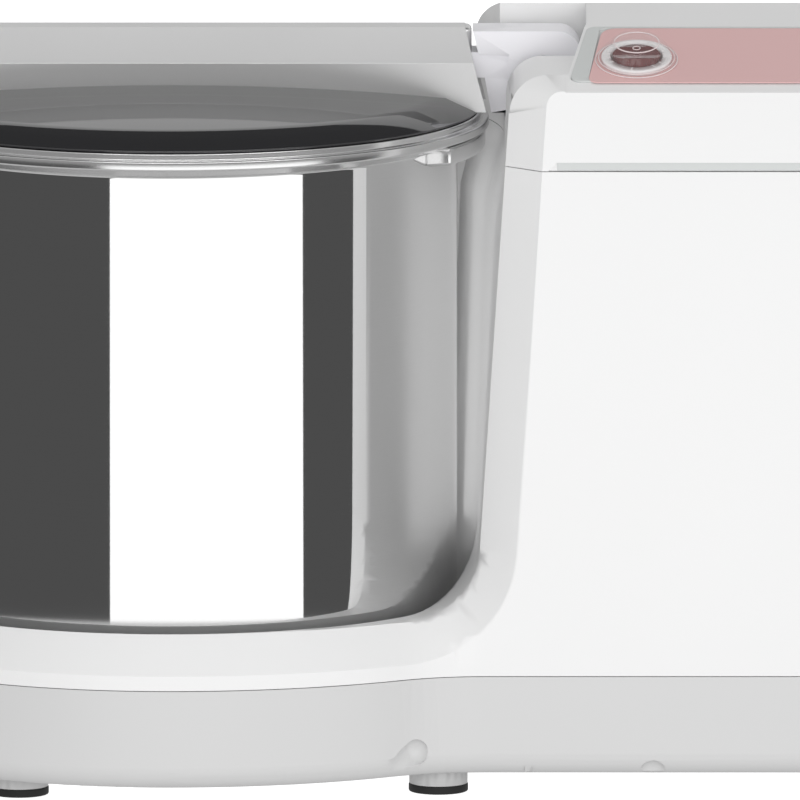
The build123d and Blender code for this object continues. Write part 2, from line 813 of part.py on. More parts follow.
def switch_ring():
    """Round switch body with its collar on the panel."""
    body = disc(switch_ring_radius, 0, switch_ring_height) + disc(switch_body_radius, -switch_body_depth, 0)
    body = fillet(body.faces().sort_by(Axis.Z)[-1].edges(), switch_ring_height / 3)
    body = body - disc(switch_bore, -switch_bore_depth, switch_ring_height + overrun)
    pins = Pos(0, 0, -rocker_pivot_depth) * Rot(0, 90, 0)
    pins = pins * Cylinder(trunnion_radius + running_clearance, 2 * (trunnion_reach + part_gap))
    for side in (-1, 1):
        body = body + Pos(0, side * switch_body_radius / 2, -switch_body_depth) * Box(
            switch_body_radius / 2, boot_wall, switch_body_radius
        )
    return on_switch(body - pins)


def switch_rocker():
    """Round rocker with a dished top, shown with its off side pressed."""
    rise = rocker_radius * math.tan(math.radians(rocker_half_angle))
    crown = rocker_top + rise
    blank = disc(rocker_radius, -rocker_skirt, crown)
    dish = [(-rocker_radius - overrun, crown + overrun), (rocker_radius + overrun, crown + overrun)]
    steep = math.tan(math.radians(rocker_half_angle)) * (rocker_radius + overrun)
    wide = rocker_radius + overrun
    dish += [(wide, rocker_top + steep), (0, rocker_top), (-wide, rocker_top + steep)]
    blank = blank - section_prism(dish, -overrun, overrun)
    blank = blank + Rot(0, 90, 0) * Cylinder(trunnion_radius, 2 * trunnion_reach)
    return on_switch(Pos(0, 0, -rocker_pivot_depth) * Rot(-rocker_half_angle, 0, 0) * blank)


def switch_boot():
    """Clear splash boot: flange round the collar, sloping wall and soft flat top."""
    inner = switch_ring_radius + panel_clearance
    collar_top = switch_ring_height + part_gap
    return on_switch(
        turned(
            [
                (inner, 0),
                (boot_flange_radius, 0),
                (boot_flange_radius, boot_wall),
                (boot_foot_radius, boot_wall + boot_wall / 2),
                (boot_foot_radius - boot_wall / 2, collar_top + boot_wall / 2),
                (boot_corner_radius, boot_height - boot_edge),
                (boot_top_radius, boot_height),
                (0, boot_height),
                (0, boot_height - boot_wall),
                (boot_top_radius - boot_wall / 2, boot_height - boot_wall),
                (boot_corner_radius - boot_wall, boot_height - boot_edge - boot_wall / 2),
                (inner, collar_top),
            ]
        )
    )


# Drum, its stone, and what turns it


def drum_vessel():
    """Spun steel drum: round-cornered floor, straight wall, flared double-bead rim and two lugs."""
    inner = drum_radius - drum_sheet
    floor_in = drum_radius - drum_corner_radius
    corner_z = drum_bottom_height + drum_corner_radius
    bend_out = drum_corner_radius * math.sqrt(0.5)
    bend_in = (drum_corner_radius - drum_sheet) * math.sqrt(0.5)
    hole = coupling_post_radius
    points = [
        (drum_radius, drum_wall_top_height),
        (rim_lower_radius, rim_flare_height),
        (rim_lower_radius, rim_bead_height - rim_bead_rounding),
        (rim_lower_radius - rim_bead_rounding, rim_bead_height),
        (rim_upper_radius, rim_bead_height),
        (rim_upper_radius, rim_top_height - rim_bead_rounding),
        (rim_upper_radius - rim_bead_rounding, rim_top_height),
        (rim_inner_radius, rim_top_height),
        (rim_inner_radius - rim_bead_rounding, rim_top_height - rim_bead_rounding),
        (inner, rim_flare_height - rim_bead_rounding),
    ]
    edges = [
        Line((hole, drum_bottom_height), (floor_in, drum_bottom_height)),
        ThreePointArc(
            (floor_in, drum_bottom_height), (floor_in + bend_out, corner_z - bend_out), (drum_radius, corner_z)
        ),
        Line((drum_radius, corner_z), points[0]),
    ]
    edges += [Line(a, b) for a, b in zip(points[:-1], points[1:])]
    edges += [
        Line(points[-1], (inner, corner_z)),
        ThreePointArc((inner, corner_z), (floor_in + bend_in, corner_z - bend_in), (floor_in, stone_floor)),
        Line((floor_in, stone_floor), (hole, stone_floor)),
        Line((hole, stone_floor), (hole, drum_bottom_height)),
    ]
    drum = revolve(make_face([Plane.XZ * edge for edge in edges]), axis=Axis.Z)
    return drum + drum_lugs()


def drum_lugs():
    """Two curved carrying lugs that hang below the rim on opposite sides."""
    lug = ring(lug_radius, drum_radius - drum_sheet / 2, lug_drop_height, rim_flare_height - rim_bead_rounding)
    far = rim_lower_radius + overrun
    spread = math.radians(lug_angle)
    wedge = make_face(
        Polyline((0, 0), (far, -far * math.tan(spread)), (far, far * math.tan(spread)), close=True)
    )
    low = lug_drop_height
    slope = turned(
        [
            (drum_radius, low - overrun),
            (far, low - overrun),
            (far, drum_wall_top_height),
            (lug_radius, drum_wall_top_height),
            (drum_radius, low),
        ]
    )
    reach = 2 * overrun + drum_corner_radius
    piece = (lug - slope) & (Pos(0, 0, low - overrun) * extrude(wedge, amount=reach, dir=(0, 0, 1)))
    return piece + Rot(0, 0, 180) * piece


def base_stone():
    """Flat granite disc that lines the drum's floor."""
    stone = ring(base_stone_radius, coupling_post_radius, stone_floor, base_stone_top)
    rims = stone.faces().sort_by(Axis.Z)[-1].edges().sort_by(SortBy.LENGTH)
    return chamfer(rims[-1:], stone_edge_rounding)


def hex_prism(flats, bottom, top):
    """Upright hexagonal bar."""
    return Pos(0, 0, bottom) * extrude(RegularPolygon(flats / 2, 6, major_radius=False), amount=top - bottom)


def drive_coupling():
    """Coupling riveted to the drum: flange below, post above with the holder's bearing bore."""
    coupling = disc(coupling_flange_radius, tray_top + seal_height / 2, drum_bottom_height)
    coupling = coupling + disc(coupling_post_radius, drum_bottom_height, coupling_post_top_height)
    coupling = coupling - hex_prism(spindle_hex_flats + running_clearance, 0, spindle_hex_top_height + part_gap)
    bore = coupling_post_top_height - holder_pin_depth - part_gap
    return coupling - disc(holder_pin_radius + running_clearance, bore, coupling_post_top_height + overrun)


def drive_spindle():
    """Upright spindle with a hexagonal nose for the coupling and a threaded foot for the pulley nut."""
    body = disc(spindle_radius, spindle_bottom_height, tray_top + part_gap)
    return body + hex_prism(spindle_hex_flats, tray_top, spindle_hex_top_height)


def bearing(bottom):
    """Ball bearing: inner and outer race with a shielded channel between them."""
    race = ring(bearing_outer_radius, spindle_radius + running_clearance, bottom, bottom + bearing_width)
    middle = (bearing_outer_radius + spindle_radius) / 2
    half = bearing_outer_radius - bearing_ring - middle
    for level in (bottom + bearing_width, bottom):
        race = race - ring(middle + half, middle - half, level - part_gap, level + part_gap)
    return race


def bearing_levels():
    """Bottom heights of the two bearings in their housing."""
    upper = seam_height - bearing_shoulder - bearing_width
    return upper - bearing_shoulder - bearing_width, upper


def bearing_housing():
    """Flanged housing hung under the tray, bored for two bearings with a shoulder between."""
    lower, upper = bearing_levels()
    top = seam_height
    housing = disc(bearing_housing_radius, lower - bearing_shoulder, top)
    housing = housing + disc(bearing_flange_radius, top - bearing_flange_thickness, top)
    for spot in range(4):
        web = block(0, bearing_flange_radius - screw_head_radius, -bearing_shoulder, bearing_shoulder,
                    lower + bearing_width, top - bearing_flange_thickness / 2)
        housing = housing + Rot(0, 0, 90 * spot) * web
        x, y = on_circle((0, 0), bearing_bolt_circle, 45 + 90 * spot)
        housing = housing - disc(screw_radius, lower, top + overrun, x, y)
    housing = housing - disc(bearing_outer_radius - bearing_shoulder, lower - overrun, top + overrun)
    housing = housing - disc(bearing_outer_radius, upper, top + overrun)
    return housing - disc(bearing_outer_radius, lower - overrun, lower + bearing_width)


def spindle_seal():
    """Lip seal in the tray's hole."""
    lip = spindle_radius + running_clearance
    body = ring(tray_hole_radius, lip + bearing_shoulder, seam_height, tray_top)
    return body + ring(tray_hole_radius - bearing_shoulder, lip, seam_height + bearing_shoulder, tray_top + part_gap)


def grooved_pulley(radius, bore, web=True):
    """Multi-rib pulley with two flanges, and where it is large a thin web with round holes."""
    bottom, top = pulley_bottom_height, pulley_bottom_height + pulley_width
    pulley = disc(radius, bottom, top)
    for level in (bottom, top - pulley_flange_thickness):
        pulley = pulley + disc(radius + pulley_flange, level, level + pulley_flange_thickness)
    pitch = (pulley_width - 2 * pulley_flange_thickness) / pulley_groove_count
    for number in range(pulley_groove_count):
        middle = bottom + pulley_flange_thickness + (number + 0.5) * pitch
        pulley = pulley - turned(
            [
                (radius + running_clearance, middle - pitch / 3),
                (radius + running_clearance, middle + pitch / 3),
                (radius - pulley_groove_depth, middle),
            ]
        )
    if web:
        middle = (bottom + top) / 2
        for low, high in ((bottom - overrun, middle - pulley_web / 2), (middle + pulley_web / 2, top + overrun)):
            pulley = pulley - ring(radius - pulley_rim, pulley_hub_radius, low, high)
        hole = (radius - pulley_rim - pulley_hub_radius) / 3
        circle = (radius - pulley_rim + pulley_hub_radius) / 2
        for number in range(pulley_hole_count):
            x, y = on_circle((0, 0), circle, 360 * number / pulley_hole_count)
            pulley = pulley - disc(hole, bottom, top, x, y)
    return pulley - disc(bore, bottom - overrun, top + overrun)


def drive_belt():
    """Ribbed belt round both pulleys, shown as the flat band between their flanges."""
    inner_big = spindle_pulley_radius + part_gap
    inner_small = motor_pulley_radius + part_gap

    def loop(grow):
        big, small = inner_big + grow, inner_small + grow
        lean = math.degrees(math.acos((big - small) / motor_x))
        far = (motor_x, 0)
        edges = [
            ThreePointArc(on_circle((0, 0), big, lean), (-big, 0), on_circle((0, 0), big, -lean)),
            Line(on_circle((0, 0), big, -lean), on_circle(far, small, -lean)),
            ThreePointArc(on_circle(far, small, -lean), (motor_x + small, 0), on_circle(far, small, lean)),
            Line(on_circle(far, small, lean), on_circle((0, 0), big, lean)),
        ]
        return make_face(edges)

    band = loop(belt_thickness) - loop(0)
    return Pos(0, 0, belt_bottom) * extrude(band, amount=belt_height, dir=(0, 0, 1))


# Motor


def motor_ears():
    """Places of the motor's four through bolts."""
    return [on_circle((motor_x, 0), ear_circle, 45 + 90 * number) for number in range(4)]


def motor_plate():
    """Steel plate on the pan's pillars that carries the motor."""
    top = plate_bottom_height + plate_thickness
    plate = block(
        motor_x - plate_half_x, motor_x + plate_half_x, -plate_half_y, plate_half_y, plate_bottom_height, top
    )
    plate = fillet(plate.edges().filter_by(Axis.Z), pillar_radius)
    plate = plate - disc(motor_pulley_radius + 2 * pulley_flange, 0, top + overrun, motor_x)
    for step_x in (-pillar_x, pillar_x):
        for y in (-pillar_y, pillar_y):
            plate = plate - disc(screw_radius, 0, top + overrun, motor_x + step_x, y)
    for x, y in motor_ears():
        plate = plate - disc(motor_bolt_radius, 0, top + overrun, x, y)
    return plate


def motor_bracket(base, up):
    """Cast end bracket with its bearing boss and four ears; up says which way its mouth looks."""
    low, high = base, base + bracket_depth
    bracket = disc(bracket_radius, low, high, motor_x)
    for x, y in motor_ears():
        bracket = bracket + disc(ear_radius, low, high, x, y)
    floor = (low + bracket_wall, high + overrun) if up else (low - overrun, high - bracket_wall)
    bracket = bracket - disc(winding_outer + bracket_wall, *floor, motor_x)
    bracket = bracket + disc(winding_inner / 2, low, high, motor_x)
    for number in range(6):
        x, y = on_circle((motor_x, 0), (winding_inner + winding_outer) / 2 - bracket_wall, 60 * number + 30)
        bracket = bracket - disc(bracket_depth / 2, low - overrun, high + overrun, x, y)
    for x, y in motor_ears():
        bracket = bracket - disc(motor_bolt_radius, low - overrun, high + overrun, x, y)
    return bracket - disc(shaft_radius + running_clearance, low - overrun, high + overrun, motor_x)


def motor_levels():
    """Heights of the lower bracket, stator and upper bracket."""
    lower = plate_bottom_height + plate_thickness
    stator = lower + bracket_depth
    return lower, stator, stator + 2 * winding_height + stator_height


def motor_can():
    """Rolled steel jacket between the end brackets."""
    lower, stator, upper = motor_levels()
    return ring(bracket_radius, stator_radius, stator, upper, motor_x)


def motor_stator():
    """Laminated stator ring."""
    bottom = motor_levels()[1] + winding_height
    return ring(stator_radius, stator_bore, bottom, bottom + stator_height, motor_x)


def motor_windings():
    """Copper end turns above and below the stator."""
    bottom = motor_levels()[1] + winding_height
    pieces = []
    for low, high in ((bottom - winding_height + part_gap, bottom), (bottom + stator_height, bottom + stator_height + winding_height - part_gap)):
        coil = ring(winding_outer, winding_inner, low, high, motor_x)
        pieces.append(fillet(coil.edges(), winding_height * soft_edge_share))
    return Compound(pieces)


def motor_rotor():
    """Laminated rotor core."""
    bottom = motor_levels()[1] + winding_height
    core = disc(rotor_radius, bottom, bottom + stator_height, motor_x)
    return core - disc(shaft_radius, bottom - overrun, bottom + stator_height + overrun, motor_x)


def motor_shaft():
    """Motor shaft from the pulley to the fan."""
    top = motor_levels()[2] + bracket_depth + part_gap + fan_plate + fan_blade_height
    return disc(shaft_radius, spindle_bottom_height, top, motor_x)


def motor_fan():
    """Radial cooling fan on the shaft's upper end."""
    bottom = motor_levels()[2] + bracket_depth + bolt_head_height + 2 * part_gap
    fan = disc(fan_radius, bottom, bottom + fan_plate)
    top = bottom + fan_plate + fan_blade_height - bolt_head_height
    fan = fan + disc(fan_hub_radius, bottom, top)
    for number in range(fan_blade_count):
        blade = block(fan_hub_radius - fan_plate, fan_radius, -fan_blade_thickness / 2, fan_blade_thickness / 2,
                      bottom + fan_plate / 2, top)
        fan = fan + Rot(0, 0, 360 * number / fan_blade_count) * blade
    return Pos(motor_x, 0, 0) * (fan - disc(shaft_radius, bottom - overrun, top + overrun))


def motor_bolts():
    """Four through bolts that clamp both brackets to the plate."""
    lower, stator, upper = motor_levels()
    top = upper + bracket_depth
    bolts = []
    for x, y in motor_ears():
        bolt = disc(motor_bolt_radius, plate_bottom_height - bolt_head_height, top, x, y)
        bolt = bolt + disc(bolt_head_radius, top, top + bolt_head_height, x, y)
        bolt = bolt + disc(bolt_head_radius, plate_bottom_height - bolt_head_height, plate_bottom_height, x, y)
        bolts.append(bolt)
    return Compound(bolts)


def capacitor():
    """Round run capacitor in its seat on the pan."""
    can = disc(capacitor_radius, pan_inside, pan_inside + capacitor_height, capacitor_x, capacitor_y)
    return fillet(can.faces().sort_by(Axis.Z)[-1].edges(), bearing_shoulder)


def cord_inlet():
    """Round bush in the back wall that the supply lead would pass through."""
    bush = turned(
        [
            (inlet_bore, -inlet_reach),
            (inlet_radius, -inlet_reach),
            (inlet_radius, 0),
            (inlet_radius + inlet_flange, 0),
            (inlet_radius + inlet_flange, inlet_flange),
            (inlet_radius, inlet_flange + inlet_flange / 2),
            (inlet_bore, inlet_flange + inlet_flange / 2),
        ]
    )
    return Pos(inlet_x, half_depth, inlet_height) * Rot(-90, 0, 0) * bush


# Roller stones, holder and axles


def on_axle(piece, side):
    """Place a piece made upright about the origin on a roller axle; side is 1 right or -1 left."""
    return Pos(0, 0, apex_height) * Rot(0, side * (90 - cone_angle), 0) * piece


def stone_span():
    """Distances along the axle of the stone's small and large end."""
    return stone_slant_start * math.cos(tilt), stone_slant_end * math.cos(tilt)


def roller_stone(side):
    """Conical granite roller whose point would lie on the drum's axis, with eased ends."""
    near, far = stone_span()
    wide = stone_slant_end * math.sin(tilt)
    slim = stone_slant_start * math.sin(tilt)
    ease = stone_edge_rounding
    stone = turned(
        [
            (bush_outer, near),
            (slim, near),
            (wide - ease * math.tan(tilt), far - ease),
            (wide - ease * math.tan(tilt) - ease, far),
            (axle_nut_radius + ease, far),
            (axle_nut_radius + ease / 2, far - ease / 2),
            (bush_outer, far - ease / 2),
        ]
    )
    return on_axle(stone, side)


def roller_bush(side):
    """Plain bush in the stone, running on the axle."""
    near, far = stone_span()
    return on_axle(ring(bush_outer, axle_radius + running_clearance, near, far), side)


def roller_axles():
    """Two fixed axles set in the holder's hub."""
    near, far = stone_span()
    end = far + part_gap + axle_washer_thickness + axle_nut_height
    return Compound([on_axle(disc(axle_radius, axle_start, end), side) for side in (-1, 1)])


def axle_nuts():
    """Washer and dome nut on each axle's end."""
    near, far = stone_span()
    start = far + part_gap
    nuts = []
    for side in (-1, 1):
        washer = disc(axle_nut_radius + axle_washer_thickness, start, start + axle_washer_thickness)
        nut = Pos(0, 0, start + axle_washer_thickness) * extrude(
            RegularPolygon(axle_nut_radius, 6), amount=axle_nut_height
        )
        nut = nut + disc(axle_radius + axle_washer_thickness, start + axle_washer_thickness,
                         start + axle_washer_thickness + axle_nut_height + axle_washer_thickness)
        nuts.append(on_axle(washer + nut - disc(axle_radius, 0, start + axle_washer_thickness + axle_nut_height), side))
    return Compound(nuts)


def stone_holder():
    """Upright holder: pin in the drum's post, hub for the axles, neck and square top for the arm."""
    near = stone_span()[0]
    pin_bottom = coupling_post_top_height - holder_pin_depth
    holder = turned(
        [
            (0, pin_bottom),
            (holder_pin_radius, pin_bottom),
            (holder_pin_radius, hub_bottom_height),
            (hub_foot_radius, hub_bottom_height),
            (hub_radius, hub_shoulder_height),
            (hub_radius, hub_top_height),
            (hub_neck_radius, hub_neck_height),
            (hub_neck_radius, holder_collar_height),
            (0, holder_collar_height),
        ]
    )
    for side in (-1, 1):
        holder = holder + on_axle(disc(axle_boss_radius, axle_boss_start, near - part_gap), side)
    holder = holder - block(-lobe_radius, lobe_radius, -lobe_radius, lobe_radius, 0, hub_bottom_height)
    holder = holder + disc(holder_pin_radius, pin_bottom, hub_bottom_height)
    for side in (-1, 1):
        holder = holder - on_axle(disc(axle_radius, axle_start, near + overrun), side)
    square = Pos(0, 0, holder_collar_height) * Box(
        holder_square, holder_square, holder_top_height - holder_collar_height,
        align=(Align.CENTER, Align.CENTER, Align.MIN),
    )
    return holder + square


# Arm and its hinge


def bridge_end_x(height):
    """The lid bridge's slanting right end at a height."""
    share = (bridge_top_height - height) / (bridge_top_height - bridge_foot_height)
    return bridge_end_top + (bridge_end_foot - bridge_end_top) * share


def lock_arm():
    """White arm: rounded hinge end, tee section outside the lid, slim beam inside the lid's bridge."""
    bottom = hinge_height - arm_end_radius
    flange_bottom = arm_top_height - arm_flange_thickness

    def outside(low, high):
        return [
            (bridge_end_x(high) + arm_end_gap, high),
            (hinge_x, high),
            (hinge_x, low),
            (bridge_end_x(low) + arm_end_gap, low),
        ]

    barrel = Pos(hinge_x, 0, hinge_height) * Rot(90, 0, 0) * Cylinder(arm_end_radius, 2 * arm_flange_half)
    arm = side_prism(outside(bottom, arm_top_height), arm_web_half)
    arm = arm + side_prism(outside(flange_bottom, arm_top_height), arm_flange_half) + barrel
    beam_end = bridge_end_x(beam_bottom_height) + arm_end_gap + arm_web_half
    arm = arm + block(0, beam_end, -arm_web_half, arm_web_half, beam_bottom_height, beam_top_height)
    arm = arm + disc(-arm_tip_x, beam_bottom_height, beam_top_height) & block(
        arm_tip_x, tower_end_x, -arm_flange_half, arm_flange_half, 0, top_height
    )
    bore = Pos(hinge_x, 0, hinge_height) * Rot(90, 0, 0)
    return arm - bore * Cylinder(hinge_pin_radius + running_clearance, 4 * arm_flange_half)


def arm_socket():
    """Square socket under the arm's tip that holds the stone holder still."""
    socket = disc(socket_radius, socket_bottom_height, beam_bottom_height)
    socket = fillet(socket.faces().sort_by(Axis.Z)[0].edges(), socket_clearance)
    hole = holder_square + 2 * socket_clearance
    return socket - Pos(0, 0, socket_bottom_height - overrun) * Box(
        hole, hole, holder_top_height + part_gap - socket_bottom_height + overrun,
        align=(Align.CENTER, Align.CENTER, Align.MIN),
    )


def arm_bracket():
    """Steel fork in the cover's bay that carries the arm's pin."""
    top = hinge_height
    base = block(
        hinge_x - hinge_plate_half_x, hinge_x + hinge_plate_half_x, -hinge_ear_inner - hinge_ear_thickness,
        hinge_ear_inner + hinge_ear_thickness, bay_floor_height, bay_floor_height + hinge_plate_thickness,
    )
    bracket = base
    for side in (-1, 1):
        middle = side * (hinge_ear_inner + hinge_ear_thickness / 2)
        half = hinge_ear_thickness / 2
        ear = block(
            hinge_x - hinge_ear_radius, hinge_x + hinge_ear_radius, middle - half, middle + half, bay_floor_height, top
        )
        ear = ear + Pos(hinge_x, middle, top) * Rot(90, 0, 0) * Cylinder(hinge_ear_radius, hinge_ear_thickness)
        bracket = bracket + ear
    bore = Pos(hinge_x, 0, hinge_height) * Rot(90, 0, 0)
    return bracket - bore * Cylinder(hinge_pin_radius, 4 * arm_flange_half)


def arm_pin():
    """Headed hinge pin through the fork and the arm."""
    half = hinge_ear_inner + hinge_ear_thickness
    turn = Pos(hinge_x, 0, hinge_height) * Rot(90, 0, 0)
    pin = turn * Cylinder(hinge_pin_radius, 2 * half)
    head = turn * Pos(0, 0, half + pulley_flange_thickness / 2)
    return pin + head * Cylinder(hinge_pin_radius + pulley_flange_thickness, pulley_flange_thickness)


# Lid


def lid_profile():
    """Outline of the lid's sheet from the middle to the seat on the rim."""
    seat = rim_top_height + part_gap
    curve = ThreePointArc(
        (0, lid_centre_height),
        (lid_crest_radius / 2, lid_crest_height + lid_crown_rise * lid_curve_share),
        (lid_crest_radius, lid_crest_height),
    )
    under = lid_crest_height - lid_sheet
    inner = lid_ring_radius - lid_sheet
    below = ThreePointArc(
        (inner, under),
        (lid_crest_radius / 2, under + lid_crown_rise * lid_curve_share),
        (0, lid_centre_height - lid_sheet),
    )
    points = [
        (lid_crest_radius, lid_crest_height),
        (lid_edge_radius, seat + lid_edge_height),
        (lid_edge_radius, seat),
        (lid_edge_radius - lid_seat_width, seat),
        (lid_ring_radius, under - lid_edge_height),
        (lid_ring_radius, lid_ring_bottom_height),
        (inner, lid_ring_bottom_height),
        (inner, under),
    ]
    edges = [curve] + [Line(a, b) for a, b in zip(points[:-1], points[1:])]
    return edges + [below, Line((0, lid_centre_height - lid_sheet), (0, lid_centre_height))]


def lid_dome():
    """Shallow domed lid with a locating ring and the slot that the arm drops through."""
    dome = revolve(make_face([Plane.XZ * edge for edge in lid_profile()]), axis=Axis.Z)
    slot = block(0, lobe_radius, -lid_slot_half, lid_slot_half, 0, top_height)
    return dome - slot - disc(-arm_tip_x + socket_clearance, 0, top_height)


def bridge_section(wall):
    """Half outline of the bridge's roof, drawn in by a wall."""
    return [
        (bridge_top_half - wall / 2, bridge_top_height - wall),
        (bridge_break_half - wall, bridge_break_height - wall / 2),
        (bridge_side_half - wall, bridge_side_height - wall / 2),
        (bridge_side_half - wall, lid_ring_bottom_height),
    ]


def bridge_bar(wall, x0, x1):
    """Roof-shaped bar along the lid, drawn in by a wall."""
    half = bridge_section(wall)
    return section_prism([(-y, z) for y, z in half] + half[::-1], x0, x1)


def lid_bridge():
    """Hollow bar across the lid: roofed section, slanting ends, open on the hinge side."""
    far = lobe_radius
    bar = bridge_bar(0, -far, far)
    slant_top = bridge_end_x(bridge_top_height + overrun)
    slant_low = bridge_end_x(lid_ring_bottom_height - overrun)
    outline = [
        (-slant_top, bridge_top_height + overrun),
        (slant_top, bridge_top_height + overrun),
        (slant_low, lid_ring_bottom_height - overrun),
        (-slant_low, lid_ring_bottom_height - overrun),
    ]
    bar = bar & side_prism(outline, far)
    bar = bar - bridge_bar(bridge_wall, -bridge_end_top + bridge_end_wall, far)
    edges = lid_profile()
    top = [Plane.XZ * edge for edge in edges[:2]]
    seat = rim_top_height + part_gap + lid_edge_height
    beyond = bridge_end_foot + overrun
    low = lid_ring_bottom_height - overrun
    under = [(lid_edge_radius, seat), (beyond, bridge_foot_height), (beyond, low), (0, low), (0, lid_centre_height)]
    rest = [Plane.XZ * Line(a, b) for a, b in zip(under[:-1], under[1:])]
    filled = revolve(make_face(top + rest), axis=Axis.Z)
    return bar - filled


# Feet and screws


def rubber_feet():
    """Six rubber pads, each with a plug in its boss."""
    feet = []
    for x, y in zip(foot_xs, foot_ys):
        for side in (-1, 1):
            pad = disc(foot_radius, 0, foot_pad_height)
            pad = fillet(pad.edges(), foot_pad_height * soft_edge_share)
            plug = disc(foot_stud_radius, foot_pad_height / 2, foot_pad_height + foot_stud_height)
            feet.append(Pos(x, side * y, 0) * (pad + plug))
    return Compound(feet)


def screw(bottom, length, x, y):
    """Pan-head screw, head down, shank up."""
    shank = disc(screw_radius, bottom + screw_head_height / 2, bottom + length, x, y)
    head = disc(screw_head_radius, bottom, bottom + screw_head_height, x, y)
    return shank + head


def base_screws():
    """Four long screws that draw the pan to the body."""
    bottom = pan_bottom_height
    length = seam_height + screw_length - part_gap - bottom
    return Compound([screw(bottom, length, x, y) for x, y in screw_spots()])


def plate_screws():
    """Four screws that hold the motor plate to its pillars, heads up."""
    top = plate_bottom_height + plate_thickness
    screws = []
    for step_x in (-pillar_x, pillar_x):
        for y in (-pillar_y, pillar_y):
            x = motor_x + step_x
            shank = disc(screw_radius, plate_bottom_height - screw_length + part_gap, top, x, y)
            screws.append(shank + disc(screw_head_radius, top, top + screw_head_height, x, y))
    return Compound(screws)


def housing_screws():
    """Four screws that hang the bearing housing under the tray."""
    bottom = seam_height - bearing_flange_thickness - screw_head_height
    screws = []
    for number in range(4):
        x, y = on_circle((0, 0), bearing_bolt_circle, 45 + 90 * number)
        screws.append(screw(bottom, tray_top - bottom, x, y))
    return Compound(screws)


form = casing()
save("body_shell", body_shell(form))
save("top_cover", top_cover(form))
save("base_pan", base_pan())
save("control_bezel", control_bezel())
save("control_panel", control_panel())
save("switch_ring", switch_ring())
save("switch_rocker", switch_rocker())
save("switch_boot", switch_boot())
save("drum_vessel", drum_vessel())
save("base_stone", base_stone())
save("drive_coupling", drive_coupling())
save("drive_spindle", drive_spindle())
save("lower_bearing", bearing(bearing_levels()[0]))
save("upper_bearing", bearing(bearing_levels()[1]))
save("bearing_housing", bearing_housing())
save("spindle_seal", spindle_seal())
save("spindle_pulley", grooved_pulley(spindle_pulley_radius, spindle_radius))
save("motor_pulley", Pos(motor_x, 0, 0) * grooved_pulley(motor_pulley_radius, shaft_radius, web=False))
save("drive_belt", drive_belt())
save("motor_plate", motor_plate())
save("motor_bracket_lower", motor_bracket(motor_levels()[0], up=True))
save("motor_bracket_upper", motor_bracket(motor_levels()[2], up=False))
save("motor_can", motor_can())
save("motor_stator", motor_stator())
save("motor_windings", motor_windings())
save("motor_rotor", motor_rotor())
save("motor_shaft", motor_shaft())
save("motor_fan", motor_fan())
save("motor_bolts", motor_bolts())
save("capacitor", capacitor())
save("cord_inlet", cord_inlet())
for side, name in ((-1, "left"), (1, "right")):
    save(f"roller_stone_{name}", roller_stone(side))
    save(f"roller_bush_{name}", roller_bush(side))
save("roller_axles", roller_axles())
save("axle_nuts", axle_nuts())
save("stone_holder", stone_holder())
save("lock_arm", lock_arm())
save("arm_socket", arm_socket())
save("arm_bracket", arm_bracket())
save("arm_pin", arm_pin())
save("lid_dome", lid_dome())
save("lid_bridge", lid_bridge())
save("rubber_feet", rubber_feet())
save("base_screws", base_screws())
save("plate_screws", plate_screws())
save("housing_screws", housing_screws())
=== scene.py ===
"""Tabletop wet grinder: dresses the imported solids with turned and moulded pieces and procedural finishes."""

import json
import logging
import math
from dataclasses import dataclass
from enum import Enum
from typing import Callable, Sequence

import bmesh
import bpy
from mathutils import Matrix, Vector


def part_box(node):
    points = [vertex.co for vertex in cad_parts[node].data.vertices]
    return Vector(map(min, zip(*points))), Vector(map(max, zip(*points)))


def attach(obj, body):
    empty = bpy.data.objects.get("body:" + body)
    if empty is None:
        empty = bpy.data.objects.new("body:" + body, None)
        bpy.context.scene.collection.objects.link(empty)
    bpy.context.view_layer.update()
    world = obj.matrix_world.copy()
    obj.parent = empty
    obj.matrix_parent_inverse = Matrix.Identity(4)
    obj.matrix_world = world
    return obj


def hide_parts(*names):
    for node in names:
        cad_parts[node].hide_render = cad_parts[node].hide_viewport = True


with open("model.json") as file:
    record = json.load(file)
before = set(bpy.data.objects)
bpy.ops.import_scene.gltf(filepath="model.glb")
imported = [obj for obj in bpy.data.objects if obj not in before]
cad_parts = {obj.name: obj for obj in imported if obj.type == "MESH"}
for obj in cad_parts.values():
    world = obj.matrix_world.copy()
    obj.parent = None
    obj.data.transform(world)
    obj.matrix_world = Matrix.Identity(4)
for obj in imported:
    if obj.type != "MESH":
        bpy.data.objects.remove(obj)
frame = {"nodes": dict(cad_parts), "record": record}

Point = tuple[float, float]
Point3 = tuple[float, float, float]
Corner = tuple[float, float, float, float]
Colour = tuple[float, float, float]
Piece = bpy.types.Object
Edge = bmesh.types.BMEdge
Tree = bpy.types.NodeTree
Node = bpy.types.Node
Output = bpy.types.NodeSocket
Outputs = tuple[Output, Output, Output]

LOG = logging.getLogger("wet_grinder")
MM = 0.001  # metres in a millimetre
DRUM_X = -84.0  # x of the drum's axis in millimetres
DRUM_AXIS: Point = (DRUM_X * MM, 0.0)
EASED_SHARE = 0.45  # most of a run that one rounded corner takes
TURNED_MERGE = 0.000002  # distance in metres within which points of a turned piece join
MOULDED_MERGE = 0.00001  # the same for a copied solid
FLAT_ANGLE = 0.6  # faces that meet within this many degrees are one flat
SHARP_ANGLE = 9.0  # least angle in degrees at an edge that gets a rounding
ROUND_SIDES = 72  # sides of a small round piece
FINE_SEGMENTS = 5  # runs across a wide rounding
RELIEF_STRENGTH = 0.35
COAT_ROUGHNESS = 0.04


